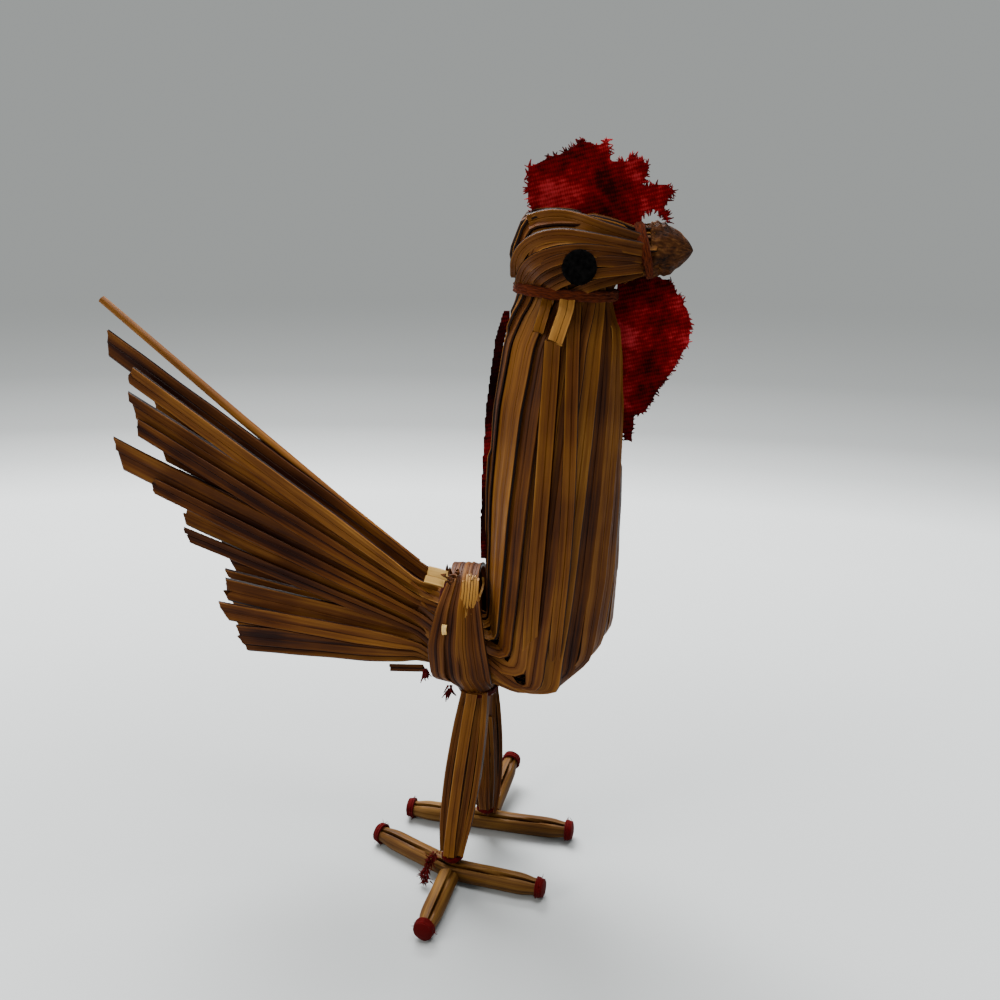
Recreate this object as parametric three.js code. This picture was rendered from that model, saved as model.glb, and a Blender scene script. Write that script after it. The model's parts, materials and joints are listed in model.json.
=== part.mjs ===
// A folk-art rooster bent from bundled straw: long flattened straws run from the beak over the
// head, down the neck, fold under the breast and fan out as the tail. Five more straws make both
// legs and the saddle over the back, and short hollow straws are the toes. Thread ties hold it.
// Millimetres, +Z up, beak towards +X. Every length is a real size.
import * as THREE from 'three';
import { mergeVertices } from 'three/addons/utils/BufferGeometryUtils.js';

// ---- driving dimensions ----
const STRAWS = 22; // long straws in the body bundle
const STRAW_THICKNESS = 0.8; // a flattened straw, both walls
const STRAW_WIDTHS = [3.0, 2.6, 3.3, 2.8, 2.4]; // taken in turn around the bundle
const GAP = 0.3; // clearance between pieces that touch on the real thing
const TWIST = (2.5 * 2 * Math.PI) / STRAWS; // the neck bundle turns this much on its way down
const EAR = 1.0; // how far the cut ends of the straws slant
const NECK_CORD = 0.75; // twisted cord of the neck tie
const TIE_CORD = 0.6; // thinner thread of the other ties
const CLOTH = 0.5; // doubled red cloth
const TOE_RADIUS = 1.75;
const LEG_STRAWS = 5;

// ---- finishes ----
const paint = (color, roughness) => new THREE.MeshStandardMaterial({ color, roughness, metalness: 0 });
const strawFinish = paint(0x7a5426, 0.55);
const paleStrawFinish = paint(0xc79a55, 0.5);
const clothFinish = paint(0x8e1220, 0.9);
const cordFinish = paint(0x6e2a1a, 0.85);
const threadFinish = paint(0x8c1a1a, 0.85);
const beakFinish = paint(0x4f3016, 0.75);
const feltFinish = paint(0x0c0b0b, 0.95);

const vec = (x, y, z) => new THREE.Vector3(x, y, z);
const rooster = new THREE.Group();

function addPiece(name, geometry, material) {
  const mesh = new THREE.Mesh(geometry, material);
  mesh.name = name;
  rooster.add(mesh);
  return mesh;
}

// Keeps only positions and welds the corners, so that each piece is one closed skin.
function welded(geometry) {
  geometry.deleteAttribute('normal');
  geometry.deleteAttribute('uv');
  return mergeVertices(geometry, 1e-4);
}

// ---- strips: a flat bar carried along a chain of sections ----
// A section is { at, out, width, thickness, slant }: its centre, the way its flat face looks, and
// how far its two edges are drawn along the strip, which cuts an end at a slant.
function tangentAt(sections, k) {
  const before = sections[Math.max(k - 1, 0)].at;
  const after = sections[Math.min(k + 1, sections.length - 1)].at;
  return after.clone().sub(before).normalize();
}

function strip(sections) {
  const steps = sections.length - 1;
  const geometry = welded(new THREE.BoxGeometry(1, 1, 1, 1, 1, steps));
  const place = geometry.attributes.position;
  for (let v = 0; v < place.count; v++) {
    const k = Math.round((place.getZ(v) + 0.5) * steps);
    const { at, out, width, thickness, slant = 0 } = sections[k];
    const along = tangentAt(sections, k);
    const face = out.clone().addScaledVector(along, -out.dot(along)).normalize();
    const across = face.clone().cross(along);
    const point = at.clone();
    point.addScaledVector(across, place.getX(v) * width);
    point.addScaledVector(face, place.getY(v) * thickness);
    point.addScaledVector(along, -2 * place.getX(v) * slant);
    place.setXYZ(v, point.x, point.y, point.z);
  }
  return geometry;
}

// ---- the body bundle ----
// Each station is one cross-section of the bundle, given by three points of its outline: the
// breast side, the flank (with its half width) and the back. The straws stand around it in order.
// slot is what stays open on the centre plane, pinch how much narrower a fold or tie squeezes them.
const BUNDLE = [
  { name: 'beak end', breast: [30.0, 105.1], flank: [29.8, 2.4, 108.0], back: [29.3, 111.2] },
  { name: 'beak tie front', breast: [29.4, 105.1], flank: [28.6, 2.3, 108.0], back: [27.8, 111.1] },
  { name: 'beak tie rear', breast: [27.5, 104.8], flank: [26.8, 2.4, 107.9], back: [26.1, 110.9] },
  { name: 'cheek', breast: [26.3, 103.9], flank: [23.9, 4.2, 108.4], back: [23.4, 112.0], slot: 0.6 },
  { name: 'eye', breast: [25.8, 103.8], flank: [20.0, 5.9, 108.7], back: [18.8, 113.1], slot: 0.7 },
  { name: 'brow', breast: [25.0, 103.8], flank: [15.6, 6.4, 108.2], back: [14.2, 113.5], slot: 0.7 },
  { name: 'crown fold', breast: [24.2, 103.8], flank: [12.4, 6.2, 106.8], back: [10.2, 113.2], slot: 0.7, pinch: 0.8 },
  { name: 'nape', breast: [23.5, 103.5], flank: [13.0, 5.4, 105.0], back: [7.8, 107.4], slot: 0.4, pinch: 0.78 },
  { name: 'neck tie top', breast: [22.8, 102.5], flank: [16.1, 4.3, 103.2], back: [9.3, 103.9], pinch: 0.9 },
  { name: 'neck tie foot', breast: [22.8, 99.8], flank: [16.0, 4.3, 100.5], back: [9.2, 101.2], pinch: 0.9 },
  { name: 'under tie', breast: [23.7, 97.6], flank: [15.8, 5.4, 98.2], back: [8.2, 98.8] },
  { name: 'collar', breast: [24.5, 94.0], flank: [15.4, 6.6, 94.0], back: [6.9, 94.5] },
  { name: 'neck', breast: [25.0, 84.0], flank: [15.2, 7.6, 84.0], back: [5.4, 84.0] },
  { name: 'chest', breast: [25.1, 70.0], flank: [14.9, 8.0, 70.0], back: [4.5, 70.0] },
  { name: 'breast', breast: [25.0, 57.0], flank: [14.6, 8.1, 54.0], back: [4.3, 57.0] },
  { name: 'breast fold', breast: [24.3, 46.4], flank: [13.8, 7.6, 36.2], back: [4.3, 47.0], pinch: 0.66 },
  { name: 'belly', breast: [17.4, 36.7], flank: [10.6, 6.8, 36.9], back: [2.4, 46.6], pinch: 0.9 },
  { name: 'under belly', breast: [11.2, 34.2], flank: [6.6, 6.1, 39.3], back: [0.9, 47.6], pinch: 0.9 },
  { name: 'waist front', breast: [3.0, 36.7], flank: [1.8, 5.4, 42.6], back: [-1.0, 49.2], pinch: 0.8 },
  { name: 'waist', breast: [-3.9, 37.8], flank: [-3.6, 4.4, 44.6], back: [-3.5, 51.6], pinch: 0.6 },
];
const NECK_TIE_STATION = 9;
const FOLD_STATION = 15;
const TAIL_ROOT_WIDTH = 1.2; // straws are still this narrow just behind the waist tie

// The tail: one [angle above level, reach] for each straw around the bundle, in degrees and mm
// from the fan's apex. The first is the lowest straw, then the near side going up, then the far.
const FAN_APEX = vec(14, 0, 39);
const TAIL_ROOT_X = -7.6;
const TAIL_ROOT_TOP = 54.6;
const TAIL_ROOT_BOTTOM = 38.9;
const LAYER_STEP = 1.3;
const LOWEST_FEATHER = [0.7, 55.9];
const NEAR_FEATHERS = [
  [2.5, 56.2], [7.4, 58.2], [10.8, 59.0], [18.8, 66.6], [21.7, 68.6],
  [24.1, 74.4], [25.5, 82.4], [30.2, 80.4], [31.7, 83.6], [35.2, 85.6],
];
const TOP_FEATHER = [36.0, 91.8];
const FAR_FEATHERS = [
  [4.4, 57.7], [7.8, 59.0], [11.8, 58.6], [14.4, 59.6], [19.1, 62.7],
  [21.9, 65.8], [24.4, 72.2], [27.3, 77.0], [29.9, 76.1], [33.3, 82.9],
];
const HALF_RING = STRAWS / 2;

// Position along the straw counted in turns of the bundle: 0 above the neck tie, full at the fold.
function twistAt(station) {
  const run = (station - NECK_TIE_STATION) / (FOLD_STATION - NECK_TIE_STATION);
  return TWIST * Math.min(Math.max(run, 0), 1);
}

// Angle around the bundle: 0 at the breast, quarter turn at the near flank, half turn at the back.
function ringAngle(straw, station) {
  return (2 * Math.PI * straw) / STRAWS - TWIST + twistAt(station);
}

function ringPoint(angle, { breast, flank, back, slot = 0 }) {
  const lean = Math.cos(angle);
  const end = lean > 0 ? breast : back;
  const share = Math.abs(lean);
  const x = flank[0] + (end[0] - flank[0]) * share;
  const z = flank[2] + (end[1] - flank[2]) * share;
  const side = Math.sin(angle);
  const y = -Math.sign(side) * (slot + (flank[1] - slot) * Math.abs(side));
  return vec(x, y, z);
}

function ringCentre({ breast, flank, back }) {
  return vec((breast[0] + back[0]) / 2, 0, (breast[1] + flank[2] * 2 + back[1]) / 4);
}

// How many steps a straw is above the lowest one, and which side it lies on.
function tailRank(straw) {
  return straw <= HALF_RING ? straw : STRAWS - straw;
}

function tailSide(straw) {
  if (straw % HALF_RING === 0) return 0;
  return straw < HALF_RING ? -1 : 1;
}

function feather(straw) {
  if (straw === 0) return LOWEST_FEATHER;
  if (straw === HALF_RING) return TOP_FEATHER;
  const list = straw < HALF_RING ? NEAR_FEATHERS : FAR_FEATHERS;
  return list[tailRank(straw) - 1];
}

// Straws lie in two layers a side, the odd ones inside.
function layerOffset(straw) {
  const inner = tailRank(straw) % 2 === 1;
  return tailSide(straw) * (inner ? 1 : 2) * LAYER_STEP;
}

function tailRoot(straw) {
  const rise = tailRank(straw) / HALF_RING;
  const z = TAIL_ROOT_BOTTOM + (TAIL_ROOT_TOP - TAIL_ROOT_BOTTOM) * rise;
  return vec(TAIL_ROOT_X, layerOffset(straw), z);
}

function tailTip(straw) {
  const [degrees, reach] = feather(straw);
  const angle = THREE.MathUtils.degToRad(degrees);
  const middle = reach - EAR;
  const tip = vec(-Math.cos(angle) * middle, 0, Math.sin(angle) * middle).add(FAN_APEX);
  tip.y = layerOffset(straw);
  return tip;
}

// Room across a straw between its two neighbours in the ring.
function roomAt(point, neighbours, across) {
  const steps = neighbours.map((other) => Math.abs(other.clone().sub(point).dot(across)));
  return Math.min(...steps) - GAP;
}

function bundleSections(straw) {
  const widest = STRAW_WIDTHS[straw % STRAW_WIDTHS.length];
  const stations = BUNDLE.map((station, k) => ringPoint(ringAngle(straw, k), station));
  const root = tailRoot(straw);
  const chain = [...stations, root];
  const sections = stations.map((at, k) => {
    const before = chain[Math.max(k - 1, 0)];
    const along = chain[k + 1].clone().sub(before).normalize();
    const neighbours = [-1, 1].map((step) => ringPoint(ringAngle(straw + step, k), BUNDLE[k]));
    const ring = neighbours[1].clone().sub(neighbours[0]);
    const out = ring.clone().cross(along).normalize();
    if (out.dot(at.clone().sub(ringCentre(BUNDLE[k]))) < 0) out.negate();
    const across = out.clone().cross(along).normalize();
    const { pinch = 1 } = BUNDLE[k];
    const width = Math.min(widest, pinch * roomAt(at, neighbours, across));
    const thickness = Math.min(STRAW_THICKNESS, Math.max(width, 0.6));
    return { at, out, width, thickness };
  });
  return [...sections, ...tailSections(straw, root, widest)];
}

// From the waist the straw runs straight to its tip, its flat face looking sideways.
function tailSections(straw, root, widest) {
  const out = vec(0, tailSide(straw) || -1, 0);
  const tip = tailTip(straw);
  const spots = [
    { share: 0, width: TAIL_ROOT_WIDTH },
    { share: 0.1, width: 0.75 * widest },
    { share: 0.3, width: widest },
    { share: 0.65, width: widest },
    { share: 1, width: widest, slant: -EAR * out.y },
  ];
  return spots.map(({ share, width, slant }) => {
    const at = root.clone().lerp(tip, share);
    return { at, out, width, thickness: STRAW_THICKNESS, slant };
  });
}

function addBodyStraws() {
  for (let straw = 0; straw < STRAWS; straw++) {
    const name = `body_straw_${String(straw + 1).padStart(2, '0')}`;
    addPiece(name, strip(bundleSections(straw)), strawFinish);
  }
}

// ---- lofts: a round or oval bar carried along a chain of sections ----
// A section is { at, up, wide, high }: its centre, its upward way and its two half sizes.
function loft(sections, sides) {
  const steps = sections.length - 1;
  const geometry = welded(new THREE.CylinderGeometry(1, 1, 1, sides, steps));
  const place = geometry.attributes.position;
  for (let v = 0; v < place.count; v++) {
    const k = Math.round((place.getY(v) + 0.5) * steps);
    const { at, up, wide, high } = sections[k];
    const along = tangentAt(sections, k);
    const top = up.clone().addScaledVector(along, -up.dot(along)).normalize();
    const across = along.clone().cross(top);
    const point = at.clone();
    point.addScaledVector(across, place.getX(v) * wide);
    point.addScaledVector(top, place.getZ(v) * high);
    place.setXYZ(v, point.x, point.y, point.z);
  }
  return geometry;
}

// ---- thread ties: a band of a few turns of cord, oval round its middle ----
function cordProfile(turns, cord) {
  const half = (turns * cord) / 2;
  const points = [new THREE.Vector2(1, -half)];
  for (let turn = 0; turn < turns; turn++) {
    const middle = -half + cord * (turn + 0.5);
    points.push(new THREE.Vector2(1 + 0.85 * cord, middle - 0.3 * cord));
    points.push(new THREE.Vector2(1 + 0.85 * cord, middle + 0.3 * cord));
    if (turn < turns - 1) points.push(new THREE.Vector2(1 + 0.5 * cord, middle + 0.5 * cord));
  }
  points.push(new THREE.Vector2(1, half), new THREE.Vector2(1, -half));
  return points;
}

// The band lies flat around +Z; insideX and insideY are the half sizes of its opening.
function cordBand({ insideX, insideY, turns, cord, sides }) {
  const geometry = welded(new THREE.LatheGeometry(cordProfile(turns, cord), sides));
  geometry.rotateX(Math.PI / 2);
  const place = geometry.attributes.position;
  for (let v = 0; v < place.count; v++) {
    const radius = Math.hypot(place.getX(v), place.getY(v));
    const depth = radius - 1;
    const scaleX = (insideX + depth) / radius;
    const scaleY = (insideY + depth) / radius;
    place.setXYZ(v, place.getX(v) * scaleX, place.getY(v) * scaleY, place.getZ(v));
  }
  return geometry;
}

function addTie(name, size, at, material) {
  const tie = addPiece(name, cordBand(size), material);
  tie.position.copy(at);
  return tie;
}

// ---- legs and saddle: five straws run from one ankle over the back to the other ----
const NEAR_ANKLE = vec(-1.3, -9.2, 4.0);
const FAR_ANKLE = vec(2.6, 5.9, 4.0);
const LEG_TOP_X = 2.3;
const LEG_TOP_Y = 2.6;
const LEG_TOP_Z = 34.3;
const LEG_WIDTH = 2.6;
const LEG_ROOM = 0.92; // share of the ring's spacing that a leg straw may take
// Going up a leg: share of the leg's height, half sizes of the ring of straws, angle between them.
const LEG_RINGS = [
  { share: 0, wide: 1.3, deep: 1.15, spread: 72 },
  { share: 0.06, wide: 1.4, deep: 1.2, spread: 72 },
  { share: 0.2, wide: 2.3, deep: 1.6, spread: 72 },
  { share: 0.5, wide: 2.8, deep: 1.7, spread: 72 },
  { share: 0.8, wide: 2.6, deep: 1.6, spread: 70 },
  { share: 1, wide: 2.2, deep: 1.35, spread: 54, squeeze: 0.46 },
];
// The band over the waist, from low on a flank to the top of the back: half width, height, and
// where its rear and front edges are.
const SADDLE_BANDS = [
  { half: 6.3, z: 38.2, rear: -5.0, front: 5.2 },
  { half: 7.3, z: 44.5, rear: -5.0, front: 4.4 },
  { half: 6.5, z: 51.0, rear: -3.5, front: 3.5 },
  { half: 3.6, z: 55.1, rear: -1.9, front: 2.6 },
];
const SADDLE_TOP = { half: 0, z: 56.2, rear: -2.0, front: 2.5 };
const SADDLE_SHARES = [0.26, 0.24, 0.2, 0.16, 0.14]; // of the band's width, rear straw first

function legRingPoint(straw, { wide, deep, spread }) {
  const turn = THREE.MathUtils.degToRad(90 + spread * ((LEG_STRAWS - 1) / 2 - straw));
  return vec(Math.cos(turn) * wide, Math.sin(turn) * deep, 0);
}

function legSection(straw, side, ankle, ring) {
  const { squeeze = 1 } = ring;
  const point = legRingPoint(straw, ring);
  const top = vec(LEG_TOP_X, side * LEG_TOP_Y, LEG_TOP_Z);
  const at = ankle.clone().lerp(top, ring.share).add(vec(point.x, side * point.y, 0));
  const out = vec(point.x * ring.deep, side * point.y * ring.wide, 0).normalize();
  const steps = [-1, 1].map((step) => legRingPoint((straw + step + LEG_STRAWS) % LEG_STRAWS, ring));
  const room = Math.min(...steps.map((other) => other.distanceTo(point)));
  const width = Math.min(LEG_WIDTH, squeeze * (LEG_ROOM * room - GAP));
  return { at, out, width, thickness: STRAW_THICKNESS };
}

function saddleSection(straw, side, { half, z, rear, front }) {
  const before = SADDLE_SHARES.slice(0, straw).reduce((sum, share) => sum + share, 0);
  const share = SADDLE_SHARES[straw];
  const x = rear + (front - rear) * (before + share / 2);
  const out = vec(0, side * half, (z - 46) * 0.9);
  const width = (front - rear) * share - GAP;
  return { at: vec(x, side * half, z), out, width, thickness: STRAW_THICKNESS };
}

function legAndFlank(straw, side, ankle) {
  const leg = LEG_RINGS.map((ring) => legSection(straw, side, ankle, ring));
  const flank = SADDLE_BANDS.map((band) => saddleSection(straw, side, band));
  return [...leg, ...flank];
}

function addLegStraws() {
  for (let straw = 0; straw < LEG_STRAWS; straw++) {
    const near = legAndFlank(straw, -1, NEAR_ANKLE);
    const far = legAndFlank(straw, 1, FAR_ANKLE);
    const top = saddleSection(straw, -1, SADDLE_TOP);
    const sections = [...near, top, ...far.reverse()];
    addPiece(`leg_and_saddle_straw_${straw + 1}`, strip(sections), strawFinish);
  }
}

// ---- feet: hollow straws lying on the table, a thread cap on every toe tip ----
const CAP_SIDES = 12;
const CAP_TURNS = 3;
const TOE_SIDES = 8;
const TOE_END_RADIUS = 1.3;
const CAP_OPENING = TOE_END_RADIUS + GAP;
const CAP_RADIUS = (CAP_OPENING + 0.85 * TIE_CORD) * Math.cos(Math.PI / CAP_SIDES);
const CAP_LENGTH = CAP_TURNS * TIE_CORD;
const ANKLE_CLEAR = TOE_RADIUS + GAP;

const toePoint = (x, y, z = CAP_RADIUS) => vec(x, y, z);
const NEAR_FOOT = {
  side: 'near',
  ankle: toePoint(NEAR_ANKLE.x, NEAR_ANKLE.y),
  back: toePoint(-16.6, -0.9),
  front: toePoint(15.0, -12.0),
  outer: toePoint(-3.1, -25.0),
};
const FAR_FOOT = {
  side: 'far',
  ankle: toePoint(FAR_ANKLE.x, FAR_ANKLE.y),
  back: toePoint(-12.7, 7.4),
  front: toePoint(18.7, 4.6),
  outer: toePoint(5.4, 21.6, 5.6),
};

// The straw narrows under the cap's thread, so it thins a little before each tied end.
function toeEnd(tip, towards) {
  const inward = towards.clone().sub(tip).normalize();
  const along = [0, CAP_LENGTH, CAP_LENGTH + 1.2];
  const radii = [TOE_END_RADIUS, TOE_END_RADIUS, TOE_RADIUS];
  return along.map((distance, k) => toeSection(tip.clone().addScaledVector(inward, distance), radii[k]));
}

function toeSection(at, radius) {
  return { at, up: vec(0, 0, 1), wide: radius, high: radius };
}

function addToeCap(name, tip, towards) {
  const size = { insideX: CAP_OPENING, insideY: CAP_OPENING, turns: CAP_TURNS, cord: TIE_CORD };
  const geometry = cordBand({ ...size, sides: CAP_SIDES });
  geometry.rotateZ(Math.PI / CAP_SIDES);
  const inward = towards.clone().sub(tip).normalize();
  const level = vec(inward.y, -inward.x, 0).normalize();
  const basis = new THREE.Matrix4().makeBasis(level, inward.clone().cross(level), inward);
  const cap = addPiece(name, geometry, threadFinish);
  cap.quaternion.setFromRotationMatrix(basis);
  cap.position.copy(tip).addScaledVector(inward, CAP_LENGTH / 2);
}

function addFoot({ side, ankle, back, front, outer }) {
  const middle = toeSection(ankle, TOE_RADIUS);
  const long = [...toeEnd(back, ankle), middle, ...toeEnd(front, ankle).reverse()];
  addPiece(`${side}_foot_long_straw`, loft(long, TOE_SIDES), strawFinish);
  const outward = outer.clone().sub(ankle).normalize();
  const root = toeSection(ankle.clone().addScaledVector(outward, ANKLE_CLEAR + 0.2), TOE_RADIUS);
  addPiece(`${side}_foot_side_toe`, loft([root, ...toeEnd(outer, ankle).reverse()], TOE_SIDES), strawFinish);
  for (const [toe, tip] of Object.entries({ back, front, outer })) {
    addToeCap(`${side}_foot_${toe}_toe_cap`, tip, ankle);
  }
}

// ---- the other ties ----
function addTies() {
  const neck = { insideX: 7.5, insideY: 5.1, turns: 3, cord: NECK_CORD, sides: 24 };
  addTie('neck_tie', neck, vec(16.05, 0, 101.8), cordFinish).rotation.y = 0.086;
  const beak = { insideX: 3.8, insideY: 3.05, turns: 3, cord: TIE_CORD, sides: 20 };
  addTie('beak_tie', beak, vec(27.75, 0, 107.95), cordFinish).rotation.y = Math.PI / 2 - 0.24;
  const waist = { insideX: 8.2, insideY: 5.3, turns: 2, cord: TIE_CORD, sides: 20 };
  addTie('waist_tie', waist, vec(-3.7, 0, 44.7), threadFinish).rotation.y = Math.PI / 2 + 0.03;
  const legs = { insideX: 3.95, insideY: 5.35, turns: 2, cord: TIE_CORD, sides: 20 };
  addTie('leg_tie', legs, vec(LEG_TOP_X, 0, LEG_TOP_Z), threadFinish);
  const ankle = { insideX: 2.1, insideY: 1.95, turns: 2, cord: TIE_CORD, sides: 16 };
  addTie('near_ankle_tie', ankle, NEAR_ANKLE.clone().add(vec(0.1, 0.1, 0.9)), threadFinish);
  addTie('far_ankle_tie', ankle, FAR_ANKLE.clone().add(vec(0, -0.1, 0.9)), threadFinish);
}

// ---- red cloth, standing on the centre plane ----
// Each outline is [x, z] corners. Ragged cut edges are drawn as a few teeth.
const COMB_CREST = [
  [10.7, 114.2], [10.2, 116.2], [10.0, 119.8], [12.1, 120.8], [16.1, 122.0], [18.3, 123.6], [19.9, 122.7],
  [21.7, 123.6], [22.3, 120.7], [24.1, 120.4], [25.0, 121.2], [26.8, 121.0], [28.0, 119.6],
  [27.0, 117.2], [30.4, 117.4], [31.5, 116.3], [30.4, 114.2], [31.1, 111.9], [30.2, 112.9],
  [28.6, 113.7], [27.3, 113.1], [26.3, 112.1], [25.4, 112.1],
];
const COMB_TONGUE = [
  [24.2, 111.2], [23.0, 110.4], [18.0, 106.4], [14.4, 106.8], [12.4, 110.4], [11.3, 112.6],
];
const WATTLE_FRONT = [
  [25.6, 101.6], [28.4, 102.1], [31.7, 102.9], [33.6, 100.4], [34.8, 98.5], [35.2, 96.4],
  [34.8, 94.3], [33.0, 90.4], [29.8, 85.1], [28.8, 83.3], [27.4, 82.9],
];
const RIBBON_WIDTH = 0.45;
const RIBBON_BOTTOM = 74;
const BACK_RIBBON_WIDTH = 1.0;
const BACK_RIBBON_BOTTOM = 57.4;

// A bundle edge in the side view, set out by a clearance: breast is +1, back is -1.
function bundleEdge(side, from, to, clearance) {
  const edges = BUNDLE.slice(from, to).map((station) => (side > 0 ? station.breast : station.back));
  return edges.map(([x, z]) => [x + side * (STRAW_THICKNESS / 2 + clearance), z]);
}

function edgeAt(edge, z) {
  const next = edge.findIndex((point) => point[1] < z);
  const [xa, za] = edge[next - 1];
  const [xb, zb] = edge[next];
  return xa + ((xb - xa) * (z - za)) / (zb - za);
}

function clothPlate(outline) {
  const shape = new THREE.Shape(outline.map(([x, z]) => new THREE.Vector2(x, z)));
  const geometry = new THREE.ExtrudeGeometry(shape, { depth: CLOTH, bevelEnabled: false, steps: 1 });
  geometry.translate(0, 0, -CLOTH / 2);
  geometry.rotateX(Math.PI / 2);
  return welded(geometry);
}

// The part of an edge between two heights, with an end point at each height.
function edgeBetween(edge, top, bottom) {
  const inside = edge.filter(([, z]) => z < top && z > bottom);
  return [[edgeAt(edge, top), top], ...inside, [edgeAt(edge, bottom), bottom]];
}

function addCloth() {
  addPiece('comb_cloth', clothPlate([...COMB_CREST, ...COMB_TONGUE].reverse()), clothFinish);
  const throat = bundleEdge(1, NECK_TIE_STATION + 1, FOLD_STATION, GAP);
  const throatInner = edgeBetween(throat, 97.5, RIBBON_BOTTOM);
  const hem = throatInner.filter(([, z]) => z < 82).map(([x, z]) => [x + RIBBON_WIDTH, z]);
  const wattle = [...WATTLE_FRONT, ...hem, ...throatInner.reverse()];
  addPiece('wattle_cloth', clothPlate(wattle.reverse()), clothFinish);
  const nape = bundleEdge(-1, NECK_TIE_STATION + 1, FOLD_STATION + 1, GAP);
  const napeInner = edgeBetween(nape, 98.7, BACK_RIBBON_BOTTOM);
  const napeOuter = napeInner.map(([x, z]) => [x - BACK_RIBBON_WIDTH, z]);
  addPiece('back_ribbon', clothPlate([...napeOuter.reverse(), ...napeInner]), clothFinish);
}

// ---- small pieces ----
function addEye(name, side) {
  const geometry = welded(new THREE.CylinderGeometry(2.65, 2.3, 0.8, 20));
  const eye = addPiece(name, geometry, feltFinish);
  eye.position.set(18.5, side * 7.4, 106.0);
  eye.rotation.x = side < 0 ? Math.PI : 0;
}

function addBeak() {
  const sections = [
    { x: 30.15, wide: 2.8, high: 3.7, z: 108.2 },
    { x: 31.4, wide: 2.7, high: 3.3, z: 108.2 },
    { x: 32.7, wide: 2.2, high: 2.6, z: 108.2 },
    { x: 33.9, wide: 1.4, high: 1.6, z: 108.1 },
    { x: 34.7, wide: 0.5, high: 0.6, z: 108.0 },
  ].map(({ x, wide, high, z }) => ({ at: vec(x, 0, z), up: vec(0, 0, 1), wide, high }));
  addPiece('beak', loft(sections, 10), beakFinish);
}

// A thin round stalk stands above the fan, and two cut ends poke out behind the saddle.
function addStalkAndStubs() {
  const stalk = [
    { at: vec(-8.2, 1.3, 55.8), radius: 0.4 },
    { at: vec(-20, 1.4, 64.7), radius: 0.75 },
    { at: vec(-38, 1.3, 79.9), radius: 0.75 },
    { at: vec(-60.2, 1.0, 99.3), radius: 0.65 },
  ].map(({ at, radius }) => ({ at, up: vec(0, 1, 0), wide: radius, high: radius }));
  addPiece('thin_tail_stalk', loft(stalk, 6), strawFinish);
  const pale = [vec(-6.0, -3.4, 55.5), vec(-4.2, -3.1, 55.0), vec(-2.5, -2.8, 54.4)];
  const paleOut = vec(0, -0.8, 0.6);
  const paleSections = pale.map((at) => ({ at, out: paleOut, width: 3.0, thickness: STRAW_THICKNESS }));
  addPiece('pale_cut_stub', strip(paleSections), paleStrawFinish);
  const dark = [vec(-13.6, -0.6, 36.3), vec(-7.2, -0.6, 36.6)];
  const darkSections = dark.map((at) => ({ at, out: vec(0, -1, 0.4), width: 1.2, thickness: 0.7 }));
  addPiece('dark_cut_stub', strip(darkSections), strawFinish);
}

addBodyStraws();
addLegStraws();
addFoot(NEAR_FOOT);
addFoot(FAR_FOOT);
addTies();
addCloth();
addEye('near_eye', -1);
addEye('far_eye', 1);
addBeak();
addStalkAndStubs();

// The origin is on the table, under the middle of the whole rooster.
const bounds = new THREE.Box3().setFromObject(rooster);
const middle = bounds.getCenter(vec(0, 0, 0));
rooster.position.set(-middle.x, -middle.y, -bounds.min.z);

export default rooster;
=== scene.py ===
# %% [markdown]
# A straw rooster, dressed from its plain solids.
# The solids say where every straw, tie and scrap of cloth lies. This lesson reads those places
# and makes each piece again with the detail of the real thing: crushed straw with raised rims,
# twisted cord, woven cloth with frayed edges. Nothing moves, so every piece rides on one body.
# %% Load the solids as a fixed frame
import itertools
import json
import math
import random

import bpy
import bmesh
import numpy as np
from mathutils import Matrix, Vector, noise
from mathutils.bvhtree import BVHTree

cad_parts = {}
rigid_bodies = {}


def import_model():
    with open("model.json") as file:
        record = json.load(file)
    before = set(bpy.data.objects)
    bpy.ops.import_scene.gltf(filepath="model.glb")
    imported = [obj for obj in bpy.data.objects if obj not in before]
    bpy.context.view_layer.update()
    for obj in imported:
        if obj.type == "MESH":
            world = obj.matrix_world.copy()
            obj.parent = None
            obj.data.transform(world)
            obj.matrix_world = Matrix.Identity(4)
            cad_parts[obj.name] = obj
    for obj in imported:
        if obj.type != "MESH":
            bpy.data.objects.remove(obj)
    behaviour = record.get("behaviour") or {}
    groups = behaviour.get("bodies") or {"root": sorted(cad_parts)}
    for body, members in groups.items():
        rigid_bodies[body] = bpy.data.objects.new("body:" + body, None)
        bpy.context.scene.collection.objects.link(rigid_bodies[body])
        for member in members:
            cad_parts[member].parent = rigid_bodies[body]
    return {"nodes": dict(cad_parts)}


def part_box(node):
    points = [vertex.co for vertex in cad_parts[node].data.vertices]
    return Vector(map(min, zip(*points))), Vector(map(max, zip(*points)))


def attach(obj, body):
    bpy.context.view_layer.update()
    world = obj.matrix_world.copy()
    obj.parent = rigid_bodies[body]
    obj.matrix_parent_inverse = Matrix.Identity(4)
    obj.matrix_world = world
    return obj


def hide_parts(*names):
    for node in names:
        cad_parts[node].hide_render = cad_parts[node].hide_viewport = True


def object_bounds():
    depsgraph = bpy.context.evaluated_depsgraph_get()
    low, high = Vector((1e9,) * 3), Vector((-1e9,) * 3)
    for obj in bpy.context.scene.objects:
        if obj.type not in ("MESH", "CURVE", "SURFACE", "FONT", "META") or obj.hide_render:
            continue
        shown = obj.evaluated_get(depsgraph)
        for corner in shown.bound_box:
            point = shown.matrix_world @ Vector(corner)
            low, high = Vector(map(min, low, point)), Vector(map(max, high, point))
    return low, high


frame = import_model()
cad_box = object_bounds()
MM = 0.001
BODY_STRAWS = sorted(n for n in frame["nodes"] if n.startswith("body_straw"))
LEG_STRAWS = sorted(n for n in frame["nodes"] if n.startswith("leg_and_saddle"))
print("solids:", len(frame["nodes"]), "body straws:", len(BODY_STRAWS))

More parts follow.
